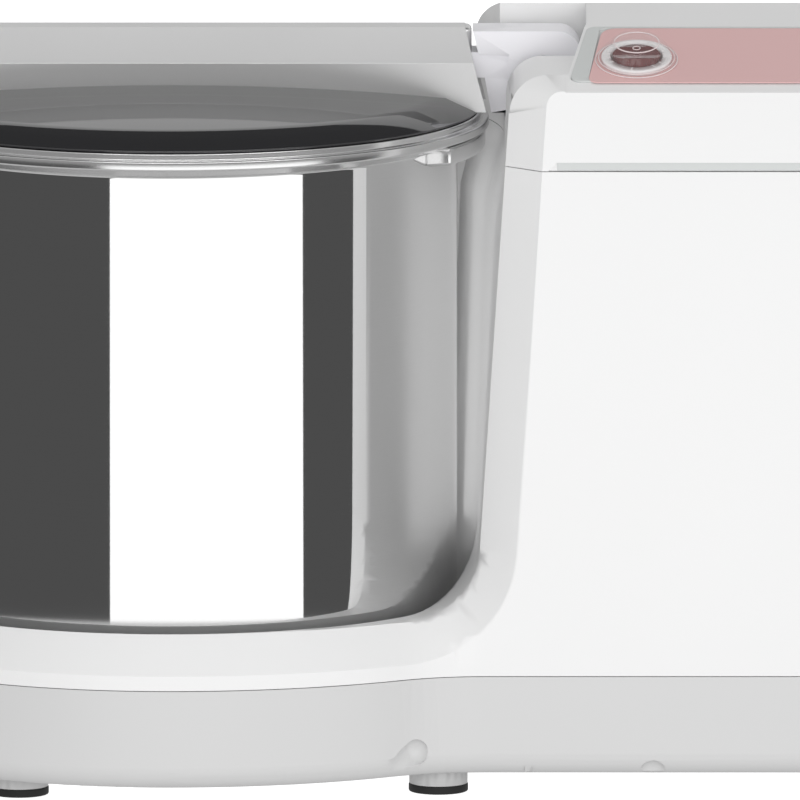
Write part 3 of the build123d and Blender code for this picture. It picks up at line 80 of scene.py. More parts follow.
def srgb(*levels: int) -> Colour:
    """Turn screen values from 0 to 255 into linear ones.

    Args:
        levels: Red, green and blue.

    Returns:
        The linear colour.
    """
    shares = (level / 255 for level in levels)
    return tuple(share / 12.92 if share <= 0.04045 else ((share + 0.055) / 1.055) ** 2.4 for share in shares)


# Mesh work


def leave_edit_mode() -> None:
    """Go back to object mode with nothing selected."""
    if bpy.context.object is not None and bpy.context.object.mode != "OBJECT":
        bpy.ops.object.mode_set(mode="OBJECT")
    bpy.ops.object.select_all(action="DESELECT")


def pick(piece: Piece) -> None:
    """Make one piece the only selected and active one.

    Args:
        piece: The piece.
    """
    leave_edit_mode()
    piece.select_set(True)
    bpy.context.view_layer.objects.active = piece


def fresh(name: str) -> Piece:
    """Name the object that an operator has just made, and its data.

    Args:
        name: The name for both.

    Returns:
        The object.
    """
    made = bpy.context.object
    made.name = made.data.name = name
    return made


def block(name: str, middle: Point3, size: Point3) -> Piece:
    """Plain block in the machine's millimetres.

    Args:
        name: The block's name.
        middle: Its middle.
        size: Its size along the three axes.

    Returns:
        The block, with its size still in its scale.
    """
    leave_edit_mode()
    bpy.ops.mesh.primitive_cube_add(size=MM, location=Vector(middle) * MM, scale=size)
    return fresh(name)


def edit_all(piece: Piece) -> None:
    """Open a piece in edit mode with all of it selected.

    Args:
        piece: The piece.
    """
    pick(piece)
    bpy.ops.object.mode_set(mode="EDIT")
    bpy.ops.mesh.select_all(action="SELECT")


def settle(piece: Piece, smooth_angle: float = 35.0) -> None:
    """Put a piece's place in its mesh and shade it by angle.

    Args:
        piece: The finished piece.
        smooth_angle: Largest angle in degrees between faces that shade as one.
    """
    pick(piece)
    bpy.ops.object.transform_apply(location=True, rotation=True, scale=True)
    bpy.ops.object.shade_smooth_by_angle(angle=math.radians(smooth_angle))


def close_up() -> None:
    """Turn all faces of the piece in edit mode outward and leave edit mode."""
    bpy.ops.mesh.select_all(action="SELECT")
    bpy.ops.mesh.normals_make_consistent(inside=False)
    leave_edit_mode()


def reshape(piece: Piece, moved: Callable[[Vector], Point3]) -> None:
    """Move each point of a piece.

    Args:
        piece: The piece.
        moved: New place of a point from its old one.
    """
    edit_all(piece)
    mesh = bmesh.from_edit_mesh(piece.data)
    for vert in mesh.verts:
        vert.co = moved(vert.co)
    bmesh.update_edit_mesh(piece.data)
    leave_edit_mode()


def apply_modifier(piece: Piece, kind: str, **settings: object) -> None:
    """Add a modifier, set it and apply it.

    Args:
        piece: The piece that takes it.
        kind: The modifier's type.
        settings: Its settings by name.
    """
    pick(piece)
    bpy.ops.object.modifier_add(type=kind)
    added = piece.modifiers[-1]
    for name, value in settings.items():
        setattr(added, name, value)
    bpy.ops.object.modifier_apply(modifier=added.name)


def eased(points: Sequence[Point], radius: float, steps: int = 4) -> list[Point]:
    """Round the corners of an open outline.

    Args:
        points: Outline of (radius, height) pairs.
        radius: Rounding, cut down where a run is short.
        steps: Runs in each rounded corner.

    Returns:
        The outline with its corners rounded.
    """
    made = [points[0]]
    for before, corner, after in zip(points, points[1:], points[2:]):
        here = Vector(corner)
        back, on = Vector(before) - here, Vector(after) - here
        reach = min(radius, back.length * EASED_SHARE, on.length * EASED_SHARE)
        start, end = here + back.normalized() * reach, here + on.normalized() * reach
        for step in range(steps + 1):
            share = step / steps
            made.append(tuple(start * (1 - share) ** 2 + here * 2 * share * (1 - share) + end * share**2))
    return made + [points[-1]]


def turned(
    name: str, outline: Sequence[Point], centre: Point, segments: int = ROUND_SIDES, close: bool = False
) -> Piece:
    """Turn an outline about an upright axis by extruding a ring from point to point.

    Args:
        name: The piece's name.
        outline: (radius, height) pairs in millimetres.
        centre: The axis's x and y in metres.
        segments: Sides of the ring.
        close: Whether the last ring meets the first.

    Returns:
        The turned piece, with both ends capped or joined.
    """
    x, y = centre
    rings = [(r * MM, z * MM) for r, z in outline]
    leave_edit_mode()
    bpy.ops.mesh.primitive_circle_add(
        vertices=segments, radius=rings[0][0], location=(x, y, rings[0][1]),
        fill_type="NOTHING" if close else "NGON",
    )
    piece = fresh(name)
    bpy.ops.object.transform_apply(location=True, rotation=True, scale=True)
    bpy.ops.object.mode_set(mode="EDIT")
    bpy.ops.mesh.select_mode(type="EDGE")
    bpy.ops.mesh.select_all(action="SELECT")
    for (radius, height), (next_radius, next_height) in zip(rings, rings[1:]):
        bpy.ops.mesh.extrude_edges_move(TRANSFORM_OT_translate={"value": (0, 0, next_height - height)})
        grow = next_radius / radius
        bpy.ops.transform.resize(value=(grow, grow, 1), center_override=(x, y, next_height))
    if not close:
        bpy.ops.mesh.edge_face_add()
    bpy.ops.mesh.select_all(action="SELECT")
    bpy.ops.mesh.remove_doubles(threshold=TURNED_MERGE)
    close_up()
    return piece


def quarter(steps: int = 12) -> list[float]:
    """Angles of a quarter turn in equal steps, in radians."""
    return [math.pi / 2 * k / steps for k in range(steps + 1)]


def corner_above(left: float, top: float, radius: float, right: float, margin: float = 12.0) -> list[Point]:
    """Outline of what lies above and left of a rounded upper left corner.

    Args:
        left: Place of the upright side.
        top: Height of the level side.
        radius: Radius of the corner.
        right: Where the level side stops.
        margin: How far the outline reaches past both sides.

    Returns:
        Points of (x, z).
    """
    arc = [(left + radius * (1 - math.cos(turn)), top - radius * (1 - math.sin(turn))) for turn in quarter()]
    outer, over = left - margin, top + margin
    return [(outer, top - radius), *arc, (right, top), (right, over), (outer, over)]


def laid(name: str, spots: Sequence[Vector]) -> Piece:
    """Make one face from its corners.

    Args:
        name: The piece's name.
        spots: The corners in order, in metres.

    Returns:
        The face, still in edit mode with all of it selected.
    """
    leave_edit_mode()
    bpy.ops.mesh.primitive_circle_add(vertices=len(spots), radius=1, fill_type="NGON")
    piece = fresh(name)
    edit_all(piece)
    mesh = bmesh.from_edit_mesh(piece.data)
    for vert, spot in zip(mesh.verts, spots):
        vert.co = spot
    bmesh.update_edit_mesh(piece.data)
    return piece


def lofted(name: str, stations: Sequence[tuple[float, Sequence[Point]]]) -> Piece:
    """Join outlines at several depths into one closed form.

    Args:
        name: The form's name.
        stations: Depth y and outline of (x, z), in millimetres from the drum's axis, all with as many points.

    Returns:
        The form.
    """
    def spots(depth: float, outline: Sequence[Point]) -> list[Vector]:
        """Places of an outline's points in metres."""
        return [Vector((x + DRUM_X, depth, z)) * MM for x, z in outline]

    last = spots(*stations[0])
    piece = laid(name, last)
    for station in stations[1:]:
        bpy.ops.mesh.extrude_region_move()
        mesh = bmesh.from_edit_mesh(piece.data)
        following = spots(*station)
        for vert in [v for v in mesh.verts if v.select]:
            nearest = min(range(len(last)), key=lambda k: (vert.co - last[k]).length)
            vert.co = following[nearest]
        bmesh.update_edit_mesh(piece.data)
        last = following
    close_up()
    return piece


def cut_away(piece: Piece, cutter: Piece) -> None:
    """Take a cutter out of a piece and remove the cutter."""
    apply_modifier(piece, "BOOLEAN", operation="DIFFERENCE", solver="EXACT", object=cutter)
    bpy.data.objects.remove(cutter)


def soften(piece: Piece, wanted: Callable[[Edge], bool], width: float, segments: int = 3) -> None:
    """Round the sharp edges of a piece that pass a test.

    Args:
        piece: The piece.
        wanted: Test of one edge between two faces.
        width: Width of the rounding in millimetres.
        segments: Runs across it.
    """
    edit_all(piece)
    bpy.ops.mesh.dissolve_limited(angle_limit=math.radians(FLAT_ANGLE))
    bpy.ops.mesh.select_mode(type="EDGE")
    bpy.ops.mesh.select_all(action="DESELECT")
    mesh = bmesh.from_edit_mesh(piece.data)
    for edge in mesh.edges:
        sharp = len(edge.link_faces) == 2 and edge.calc_face_angle(0) > math.radians(SHARP_ANGLE)
        edge.select_set(sharp and wanted(edge))
    bmesh.update_edit_mesh(piece.data)
    bpy.ops.mesh.bevel(offset=width * MM, segments=segments, clamp_overlap=True, loop_slide=True)
    leave_edit_mode()


def moulding(
    name: str, node: str, smooth_angle: float = 32.0, shape: Callable[[Piece], None] | None = None
) -> Piece:
    """Copy a CAD node as a piece of its own with joined faces and clean shading.

    Args:
        name: The new piece's name.
        node: The CAD node that it stands for.
        smooth_angle: Largest angle in degrees between faces that shade as one.
        shape: Work on the copy before it is shaded.

    Returns:
        The new piece, which replaces the node.
    """
    piece = bpy.data.objects.new(name, frame["nodes"][node].data.copy())
    bpy.context.scene.collection.objects.link(piece)
    edit_all(piece)
    bpy.ops.mesh.remove_doubles(threshold=MOULDED_MERGE)
    leave_edit_mode()
    if shape is not None:
        shape(piece)
    settle(piece, smooth_angle)
    apply_modifier(piece, "WEIGHTED_NORMAL", keep_sharp=True, weight=80)
    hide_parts(node)
    return piece


# Shared effects


def node(tree: Tree, kind: str, links: dict[object, object] | None = None, **settings: object) -> Node:
    """Add a node, set it and feed its inputs.

    Args:
        tree: Where it goes.
        kind: The node's type.
        links: Inputs by name or place, each with an output to link or a value to set.
        settings: Settings of the node by name.

    Returns:
        The node.
    """
    made = tree.nodes.new(kind)
    for name, value in settings.items():
        setattr(made, name, value)
    for name, value in (links or {}).items():
        if isinstance(value, Output):
            tree.links.new(value, made.inputs[name])
        else:
            made.inputs[name].default_value = value
    return made


def times(tree: Tree, first: object, second: object) -> Output:
    """One value times another, each an output or a number."""
    return node(tree, "ShaderNodeMath", {0: first, 1: second}, operation="MULTIPLY").outputs[0]


def noise(tree: Tree, place: object, scale: object, detail: float) -> Output:
    """Soft random values over a place, from 0 to 1."""
    return node(tree, "ShaderNodeTexNoise", {"Vector": place, "Scale": scale, "Detail": detail}).outputs[0]


def spread(tree: Tree, value: object, low: object, high: object, span: Point = (0.0, 1.0)) -> Output:
    """Value within a span, spread between a low and a high one."""
    return node(tree, "ShaderNodeMapRange", {
        "Value": value, "From Min": span[0], "From Max": span[1], "To Min": low, "To Max": high,
    }).outputs[0]


class Effect(Enum):
    """Surface effects that several finishes share."""

    MOULDED = "moulded_skin"
    SPUN = "spun_lines"
    FLECKED = "stone_flecks"


class EffectLibrary:
    """Node groups of the shared effects, each made once.

    Attributes:
        flow_scale: Scale of the wide marks in moulded plastic.
        flow_tone: Least and largest share of the colour over them.
        flow_rough: The same for the roughness.
        skin_scale: Scale of the plastic's fine skin.
        wear_scale: Scale of the wide changes on turned metal.
        wear_rough: Least and largest share of the roughness over them.
        ring_scale: Scale of the lathe's rings.
        ring_tone: Least and largest share of the colour over them.
        grain_scale: Scale of a stone's grains.
        grain_tone: Least and largest share of the colour over them.
        grain_rough: The same for the roughness.
    """

    flow_scale, flow_tone, flow_rough = 14.0, (0.992, 1.006), (0.8, 1.25)
    skin_scale = 1400.0
    wear_scale, wear_rough = 9.0, (0.75, 1.3)
    ring_scale, ring_tone = 2600.0, (0.96, 1.03)
    grain_scale, grain_tone, grain_rough = 620.0, (0.35, 1.9), (0.8, 1.2)

    def __init__(self) -> None:
        """Start with no group made."""
        self._made: dict[Effect, Tree] = {}

    def get(self, effect: Effect) -> Tree:
        """Group of an effect, made on first use.

        Args:
            effect: Which effect.

        Returns:
            Its node group.
        """
        if effect not in self._made:
            makers = {Effect.MOULDED: self._moulded, Effect.SPUN: self._spun, Effect.FLECKED: self._flecked}
            tree = bpy.data.node_groups.new(effect.value, "ShaderNodeTree")
            for way, name, kind in (
                ("INPUT", "Colour", "Color"), ("INPUT", "Roughness", "Float"), ("INPUT", "Scale", "Float"),
                ("OUTPUT", "Colour", "Color"), ("OUTPUT", "Roughness", "Float"), ("OUTPUT", "Height", "Float"),
            ):
                tree.interface.new_socket(name=name, in_out=way, socket_type="NodeSocket" + kind)
            given, into = tree.nodes.new("NodeGroupInput").outputs, tree.nodes.new("NodeGroupOutput").inputs
            place = node(tree, "ShaderNodeTexCoord").outputs["Object"]
            shade, rough, height = makers[effect](tree, place, given["Scale"])
            tint = node(tree, "ShaderNodeVectorMath", {0: given["Colour"], "Scale": shade}, operation="SCALE")
            tree.links.new(tint.outputs[0], into["Colour"])
            tree.links.new(times(tree, given["Roughness"], rough), into["Roughness"])
            tree.links.new(height, into["Height"])
            self._made[effect] = tree
        return self._made[effect]

    def _moulded(self, tree: Tree, place: Output, scale: Output) -> Outputs:
        """Faint flow and handling marks of moulded plastic, with a fine skin.

        Args:
            tree: The group.
            place: Place on the piece.
            scale: Size of the effect.

        Returns:
            Share of the colour, share of the roughness, and height.
        """
        wide = noise(tree, place, self.flow_scale, 3.0)
        fine = noise(tree, place, times(tree, scale, self.skin_scale), 2.0)
        return spread(tree, wide, *self.flow_tone), spread(tree, wide, *self.flow_rough), fine

    def _spun(self, tree: Tree, place: Output, scale: Output) -> Outputs:
        """Fine rings that a lathe leaves round the drum's axis.

        Args:
            tree: The group.
            place: Place on the piece.
            scale: Size of the effect.

        Returns:
            Share of the colour, share of the roughness, and height.
        """
        centred = node(tree, "ShaderNodeMapping", {
            "Vector": place, "Location": (-DRUM_AXIS[0], 0, 0),
        }).outputs[0]
        apart = node(tree, "ShaderNodeSeparateXYZ", {0: centred}).outputs
        flat = node(tree, "ShaderNodeCombineXYZ", {0: apart[0], 1: apart[1]}).outputs[0]
        radius = node(tree, "ShaderNodeVectorMath", {0: flat}, operation="LENGTH").outputs["Value"]
        line = node(tree, "ShaderNodeCombineXYZ", {0: radius, 2: apart[2]}).outputs[0]
        rings = noise(tree, line, times(tree, scale, self.ring_scale), 1.0)
        wide = noise(tree, place, self.wear_scale, 2.0)
        return spread(tree, rings, *self.ring_tone), spread(tree, wide, *self.wear_rough), rings

    def _flecked(self, tree: Tree, place: Output, scale: Output) -> Outputs:
        """Light and dark grains of a honed stone.

        Args:
            tree: The group.
            place: Place on the piece.
            scale: Size of the effect.

        Returns:
            Share of the colour, share of the roughness, and height.
        """
        grains = node(tree, "ShaderNodeTexVoronoi", {
            "Vector": place, "Scale": times(tree, scale, self.grain_scale),
        })
        tone = node(tree, "ShaderNodeSeparateColor", {0: grains.outputs["Color"]}).outputs[0]
        shade, rough = spread(tree, tone, *self.grain_tone), spread(tree, tone, *self.grain_rough)
        return shade, rough, grains.outputs["Distance"]


EFFECTS = EffectLibrary()


@dataclass(frozen=True)
class Finish:
    """One finish: a colour with a shared effect over it.

    Attributes:
        slot: Its name, which is the record's material slot unless record_slot says another.
        colour: Linear colour.
        roughness: Middle roughness.
        effect: Shared effect that varies it.
        scale: Size of the effect, 1 for its usual one.
        relief: Depth of the bump in metres.
        metallic: 1 for bare metal.
        coat: Weight of a clear gloss coat.
        specular: Strength of plain reflections.
        alpha: 1 when nothing shows through.
        subsurface: Share of light that scatters inside.
        record_slot: The slot's name in the record, where it isn't this finish's own.
    """

    slot: str
    colour: Colour
    roughness: float
    effect: Effect = Effect.MOULDED
    scale: float = 1.0
    relief: float = 0.00001
    metallic: float = 0.0
    coat: float = 0.0
    specular: float = 0.5
    alpha: float = 1.0
    subsurface: float = 0.0
    record_slot: str = ""

    def material(self) -> bpy.types.Material:
        """Material of this finish, made on first use.

        Returns:
            The material.
        """
        found = bpy.data.materials.get("finish_" + self.slot)
        if found is not None:
            return found
        made = bpy.data.materials.new("finish_" + self.slot)
        made.use_nodes = True
        tree = made.node_tree
        tree.nodes.clear()
        effect = node(tree, "ShaderNodeGroup", {
            "Colour": (*self.colour, 1), "Roughness": self.roughness, "Scale": self.scale,
        }, node_tree=EFFECTS.get(self.effect)).outputs
        bump = node(tree, "ShaderNodeBump", {
            "Height": effect["Height"], "Strength": RELIEF_STRENGTH, "Distance": self.relief,
        })
        shader = node(tree, "ShaderNodeBsdfPrincipled", {
            "Base Color": effect["Colour"], "Roughness": effect["Roughness"], "Normal": bump.outputs[0],
            "Metallic": self.metallic, "Coat Weight": self.coat, "Coat Roughness": COAT_ROUGHNESS,
            "Specular IOR Level": self.specular, "Alpha": self.alpha, "Subsurface Weight": self.subsurface,
        })
        node(tree, "ShaderNodeOutputMaterial", {"Surface": shader.outputs[0]})
        return made

    def dress(self, piece: Piece) -> None:
        """Put this finish alone on a piece.

        Args:
            piece: A new piece or a CAD node.
        """
        material = self.material()
        if piece.material_slots:
            for place in piece.material_slots:
                place.material = material
        else:
            piece.data.materials.append(material)


FINISHES: dict[str, Finish] = {f.slot: f for f in (
    Finish("white_shell", srgb(240, 240, 240), 0.3, specular=0.22),
    Finish("white_base", srgb(214, 214, 214), 0.3, specular=0.22),
    Finish("arm_white", srgb(250, 249, 253), 0.3, specular=0.25),
    Finish("switch_white", srgb(236, 236, 236), 0.2, coat=0.3),
    Finish("bezel_grey", srgb(210, 213, 212), 0.38),
    Finish("panel_rose", srgb(224, 186, 185), 0.4, specular=0.25),
    Finish("switch_maroon", srgb(96, 36, 36), 0.14, coat=0.5),
    Finish("silver_bar", srgb(226, 226, 226), 0.3, metallic=0.8),
    Finish("smoke_lid", srgb(44, 44, 46), 0.04, relief=0.000002, coat=0.4, specular=0.9, alpha=0.94),
    Finish("boot_clear", srgb(240, 222, 222), 0.08, coat=1.0, alpha=0.06),
    Finish("rocker_mark", srgb(236, 226, 226), 0.4, record_slot="switch_maroon"),
    # Painted highlights: near-white, half see-through rings along the clear boot's edges.
    Finish("boot_highlight", srgb(248, 238, 238), 0.15, alpha=0.75, record_slot="boot_clear"),
    Finish("steel_drum", srgb(226, 226, 226), 0.035, Effect.SPUN, relief=0.0000008, metallic=1.0),
    Finish(
        "steel_rim", srgb(226, 226, 226), 0.2, Effect.SPUN,
        relief=0.0000008, metallic=1.0, record_slot="steel_drum",
    ),
    Finish("steel_part", srgb(176, 176, 178), 0.28, Effect.SPUN, relief=0.000004, metallic=1.0),
    Finish("alloy_cast", srgb(186, 186, 188), 0.45, relief=0.00003, metallic=1.0),
    Finish("copper_wire", srgb(176, 98, 52), 0.35, Effect.SPUN, scale=0.5, relief=0.00002, metallic=1.0),
    Finish("granite", srgb(72, 72, 74), 0.42, Effect.FLECKED, relief=0.00002),
    Finish("black_rubber", srgb(28, 28, 28), 0.62, relief=0.00003),
    Finish("belt_rubber", srgb(24, 24, 24), 0.6, relief=0.00003),
    Finish("nylon_natural", srgb(226, 222, 208), 0.42, subsurface=0.1),
    Finish("dark_plastic", srgb(30, 30, 31), 0.4),
)}


# Sub-assemblies


class SubAssembly:
    """Pieces of one part of the machine that share a way of being reported."""

    def place(self, piece: Piece, body: str, slot: str) -> Piece:
        """Dress a finished piece, let it ride on its body and report it.

        Args:
            piece: The finished piece.
            body: The CAD body that carries it.
            slot: Name of its finish.

        Returns:
            The same piece.
        """
        FINISHES[slot].dress(piece)
        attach(piece, body)
        FINISHES[slot].record_slot or slot
        LOG.info("%s rides on %s in %s, %d faces", piece.name, body, slot, len(piece.data.polygons))
        return piece


@dataclass
class Casing(SubAssembly):
    """White mouldings of the machine.

    Attributes:
        smooth_angle: Largest angle in degrees that the mouldings shade across.
        half_depth: Half depth of the tower, in millimetres.
        front_corner: Upright side, top, radius and end of the front face's upper left corner, with
            its x from the drum's axis.
        cheek_corner: The same for the cheek, where the bevel ends.
        bay_corner: The same where the cheek meets the arm's bay.
        bevel_depth: Depth of the wide bevel.
        bay_depth: Depth of the cheek's back edge.
        nose: Left side, top and radius of the rear block's rounded end.
        back_fall: Fall of the rear block's top for each millimetre of depth.
        nose_depths: Where that rounded end begins and stops.
        over: How far a cutter reaches past what it cuts.
        rounding: Width of the rounded edge round the cover's front face, and of the shell's.
        edge_heights: Least and largest height of the shell's rounded edge, and least of the cover's.
        edge_reach: Largest x of a rounded edge.
        flat: Distance within which a point is in the front face.
        strip: Start, end, foot and top of the grey strip that paints the shade into the groove over the
            cover's seam.
        strip_depth: Depth of that strip's middle.
        strip_thick: Its thickness.
        rib_place: Middle of the rib behind the drum.
        rib_size: Its size along the three axes.
    """

    smooth_angle: float = 26.0
    half_depth: float = 97.0
    front_corner: Corner = (143.9, 274.6, 6.0, 151.2)
    cheek_corner: Corner = (129.8, 279.05, 15.0, 152.2)
    bay_corner: Corner = (128.7, 279.05, 14.0, 159.0)
    bevel_depth: float = 14.0
    bay_depth: float = 33.0
    nose: Point3 = (117.3, 291.9, 10.5)
    back_fall: float = 0.1763
    nose_depths: Point = (19.0, 99.0)
    over: float = 1.0
    rounding: Point = (3.0, 0.8)
    edge_heights: Point3 = (60.0, 242.5, 248.5)
    edge_reach: float = 100.0
    flat: float = 0.05
    strip: Corner = (147.9, 272.0, 243.95, 247.05)
    strip_depth: float = 95.6
    strip_thick: float = 0.3
    rib_place: Point3 = (29.0, 51.5, 170.0)
    rib_size: Point3 = (10.0, 2.5, 132.0)

    def build(self) -> None:
        """Make each moulding from its solid."""
        for name, source, slot, shape in (
            ("casing_moulding", "body_shell", "white_shell", self.shape_shell),
            ("cover_moulding", "top_cover", "white_shell", self.shape_cover),
            ("pan_moulding", "base_pan", "white_base", None),
            ("bezel_moulding", "control_bezel", "bezel_grey", None),
            ("ring_moulding", "switch_ring", "switch_white", None),
            ("boot_moulding", "switch_boot", "boot_clear", None),
        ):
            self.place(moulding(name, source, self.smooth_angle, shape), "housing", slot)
        self.seam_shade_strips()
        self.gap_rib()

    def gap_rib(self) -> None:
        """Upright rib on the casing behind the drum, which closes the view through the gap."""
        rib = block("gap_rib", self.rib_place, self.rib_size)
        settle(rib)
        self.place(rib, "housing", "white_shell")

    def seam_shade_strips(self) -> None:
        """Grey strips in the groove over the cover's seam, front and back, which paint the shade of that
        recess.
        """
        start, end, low, high = self.strip
        for name, side in (("seam_shade_strip_front", -1), ("seam_shade_strip_back", 1)):
            middle = ((start + end) / 2 + DRUM_X, side * self.strip_depth, (low + high) / 2)
            # Painted shade: the grey strip darkens the recessed groove.
            strip = block(name, middle, (end - start, self.strip_thick, high - low))
            settle(strip)
            self.place(strip, "housing", "bezel_grey")

    def on_front(self, edge: Edge, low: float, high: float = math.inf) -> bool:
        """Whether an edge bounds the flat front face between two heights in millimetres.

        Args:
            edge: The edge.
            low: Height that it lies above.
            high: Height that it lies below.

        Returns:
            True when it does.
        """
        spots = [vert.co / MM for vert in edge.verts]
        return all(
            abs(spot.y + self.half_depth) < self.flat and spot.x < self.edge_reach and low < spot.z < high
            for spot in spots
        )

    def shape_shell(self, piece: Piece) -> None:
        """Soften the edge between the casing's front face and its bevel."""
        soften(piece, lambda edge: self.on_front(edge, *self.edge_heights[:2]), self.rounding[1])

    def shape_cover(self, piece: Piece) -> None:
        """Round the cheek's corner into the bevel, the rear block's end and the front face's upper edge.

        Args:
            piece: Copy of the cover's solid.
        """
        reach = 1 + self.over / self.bevel_depth
        outside = [c + (f - c) * reach for f, c in zip(self.front_corner, self.cheek_corner)]
        cut_away(piece, lofted("cheek_cutter", (
            (-self.half_depth - self.over, corner_above(*outside)),
            (self.bevel_depth - self.half_depth, corner_above(*self.cheek_corner)),
            (-self.bay_depth, corner_above(*self.bay_corner)),
        )))
        left, top, radius = self.nose
        first = self.nose_depths[0]
        cut_away(piece, lofted("nose_cutter", tuple(
            (y, corner_above(left, top - self.back_fall * (y - first), radius, left + radius + self.over))
            for y in self.nose_depths
        )))
        soften(piece, lambda edge: self.on_front(edge, self.edge_heights[2]), self.rounding[0], FINE_SEGMENTS)


@dataclass
class Drum(SubAssembly):
    """Polished drum with its rolled rim and carrying lugs.

    Attributes:
        wall_radius: Outside of the wall, in millimetres.
        sheet: Thickness of the steel.
        bottom: Height of the floor's underside.
        corner: Radius of the corner under the wall.
        corner_steps: Runs in that corner.
        post_hole: Radius of the hole round the drive post.
        segments: Sides of the turned drum.
        lug_half_angle: Half of the angle that a lug covers, in degrees.
        lug_steps: Runs along a lug.
        lug_section: Its corners in radius and height.
        lug_bevel: Width of its rounded edges in metres.
        rim_easing: Rounding of the rim's corners.
        rim: Outline of the rolled rim, from the wall out and back in.
    """

    wall_radius: float = 110.0
    sheet: float = 1.0
    bottom: float = 58.0
    corner: float = 12.0
    corner_steps: int = 10
    post_hole: float = 9.0
    segments: int = 256
    lug_half_angle: float = 27.0
    lug_steps: int = 36
    lug_section: tuple[Point, ...] = ((109.6, 238.2), (120.8, 239.6), (120.8, 246.4), (109.6, 246.4))
    lug_bevel: float = 0.0014
    rim_easing: float = 0.8
    rim: tuple[Point, ...] = (
        (110.0, 243.4), (122.2, 247.7), (122.2, 251.0), (119.0, 251.2), (119.0, 253.7),
        (116.5, 253.7), (109.0, 246.5),
    )

    def corner_arc(self, radius: float) -> list[Point]:
        """Quarter round of a given radius from floor to wall.

        Args:
            radius: Radius of the arc.

        Returns:
            Points of the arc.
        """
        middle_r, middle_z = self.wall_radius - self.corner, self.bottom + self.corner
        turns = quarter(self.corner_steps)
        return [(middle_r + radius * math.sin(turn), middle_z - radius * math.cos(turn)) for turn in turns]

    def build(self) -> None:
        """Turn the drum and add its lugs."""
        outline = [(self.post_hole, self.bottom), *self.corner_arc(self.corner)]
        inside = (self.wall_radius - self.sheet, self.bottom + self.corner)
        outline += eased([outline[-1], *self.rim, inside], self.rim_easing)[1:]
        outline += self.corner_arc(self.corner - self.sheet)[::-1]
        outline += [(self.post_hole, self.bottom + self.sheet), (self.post_hole, self.bottom)]
        vessel = turned("drum_shell", outline, DRUM_AXIS, self.segments, close=True)
        settle(vessel, smooth_angle=40.0)
        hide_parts("drum_vessel")
        self.place(vessel, "drum", "steel_drum")
        vessel.data.materials.append(FINISHES["steel_rim"].material())
        for face in vessel.data.polygons:
            face.material_index = int(face.center.z > self.rim[0][1] * MM)
        for side, middle in (("right", 0.0), ("left", 180.0)):
            self.place(self.lug("drum_lug_" + side, middle), "drum", "steel_rim")

    def lug(self, name: str, middle: float) -> Piece:
        """Curved steel lug that hangs under the rim, spun from its section.

        Args:
            name: The lug's name.
            middle: Angle of its middle round the drum, in degrees from +X.

        Returns:
            The lug.
        """
        start = math.radians(middle + self.lug_half_angle)
        spots = [
            Vector((DRUM_X + radius * math.cos(start), radius * math.sin(start), height)) * MM
            for radius, height in self.lug_section
        ]
        piece = laid(name, spots)
        turn = math.radians(2 * self.lug_half_angle)
        bpy.ops.mesh.spin(steps=self.lug_steps, angle=turn, center=(*DRUM_AXIS, 0), axis=(0, 0, 1))
        close_up()
        apply_modifier(
            piece, "BEVEL", width=self.lug_bevel, segments=4,
            limit_method="ANGLE", angle_limit=math.radians(30),
        )
        settle(piece, smooth_angle=40.0)
        return piece


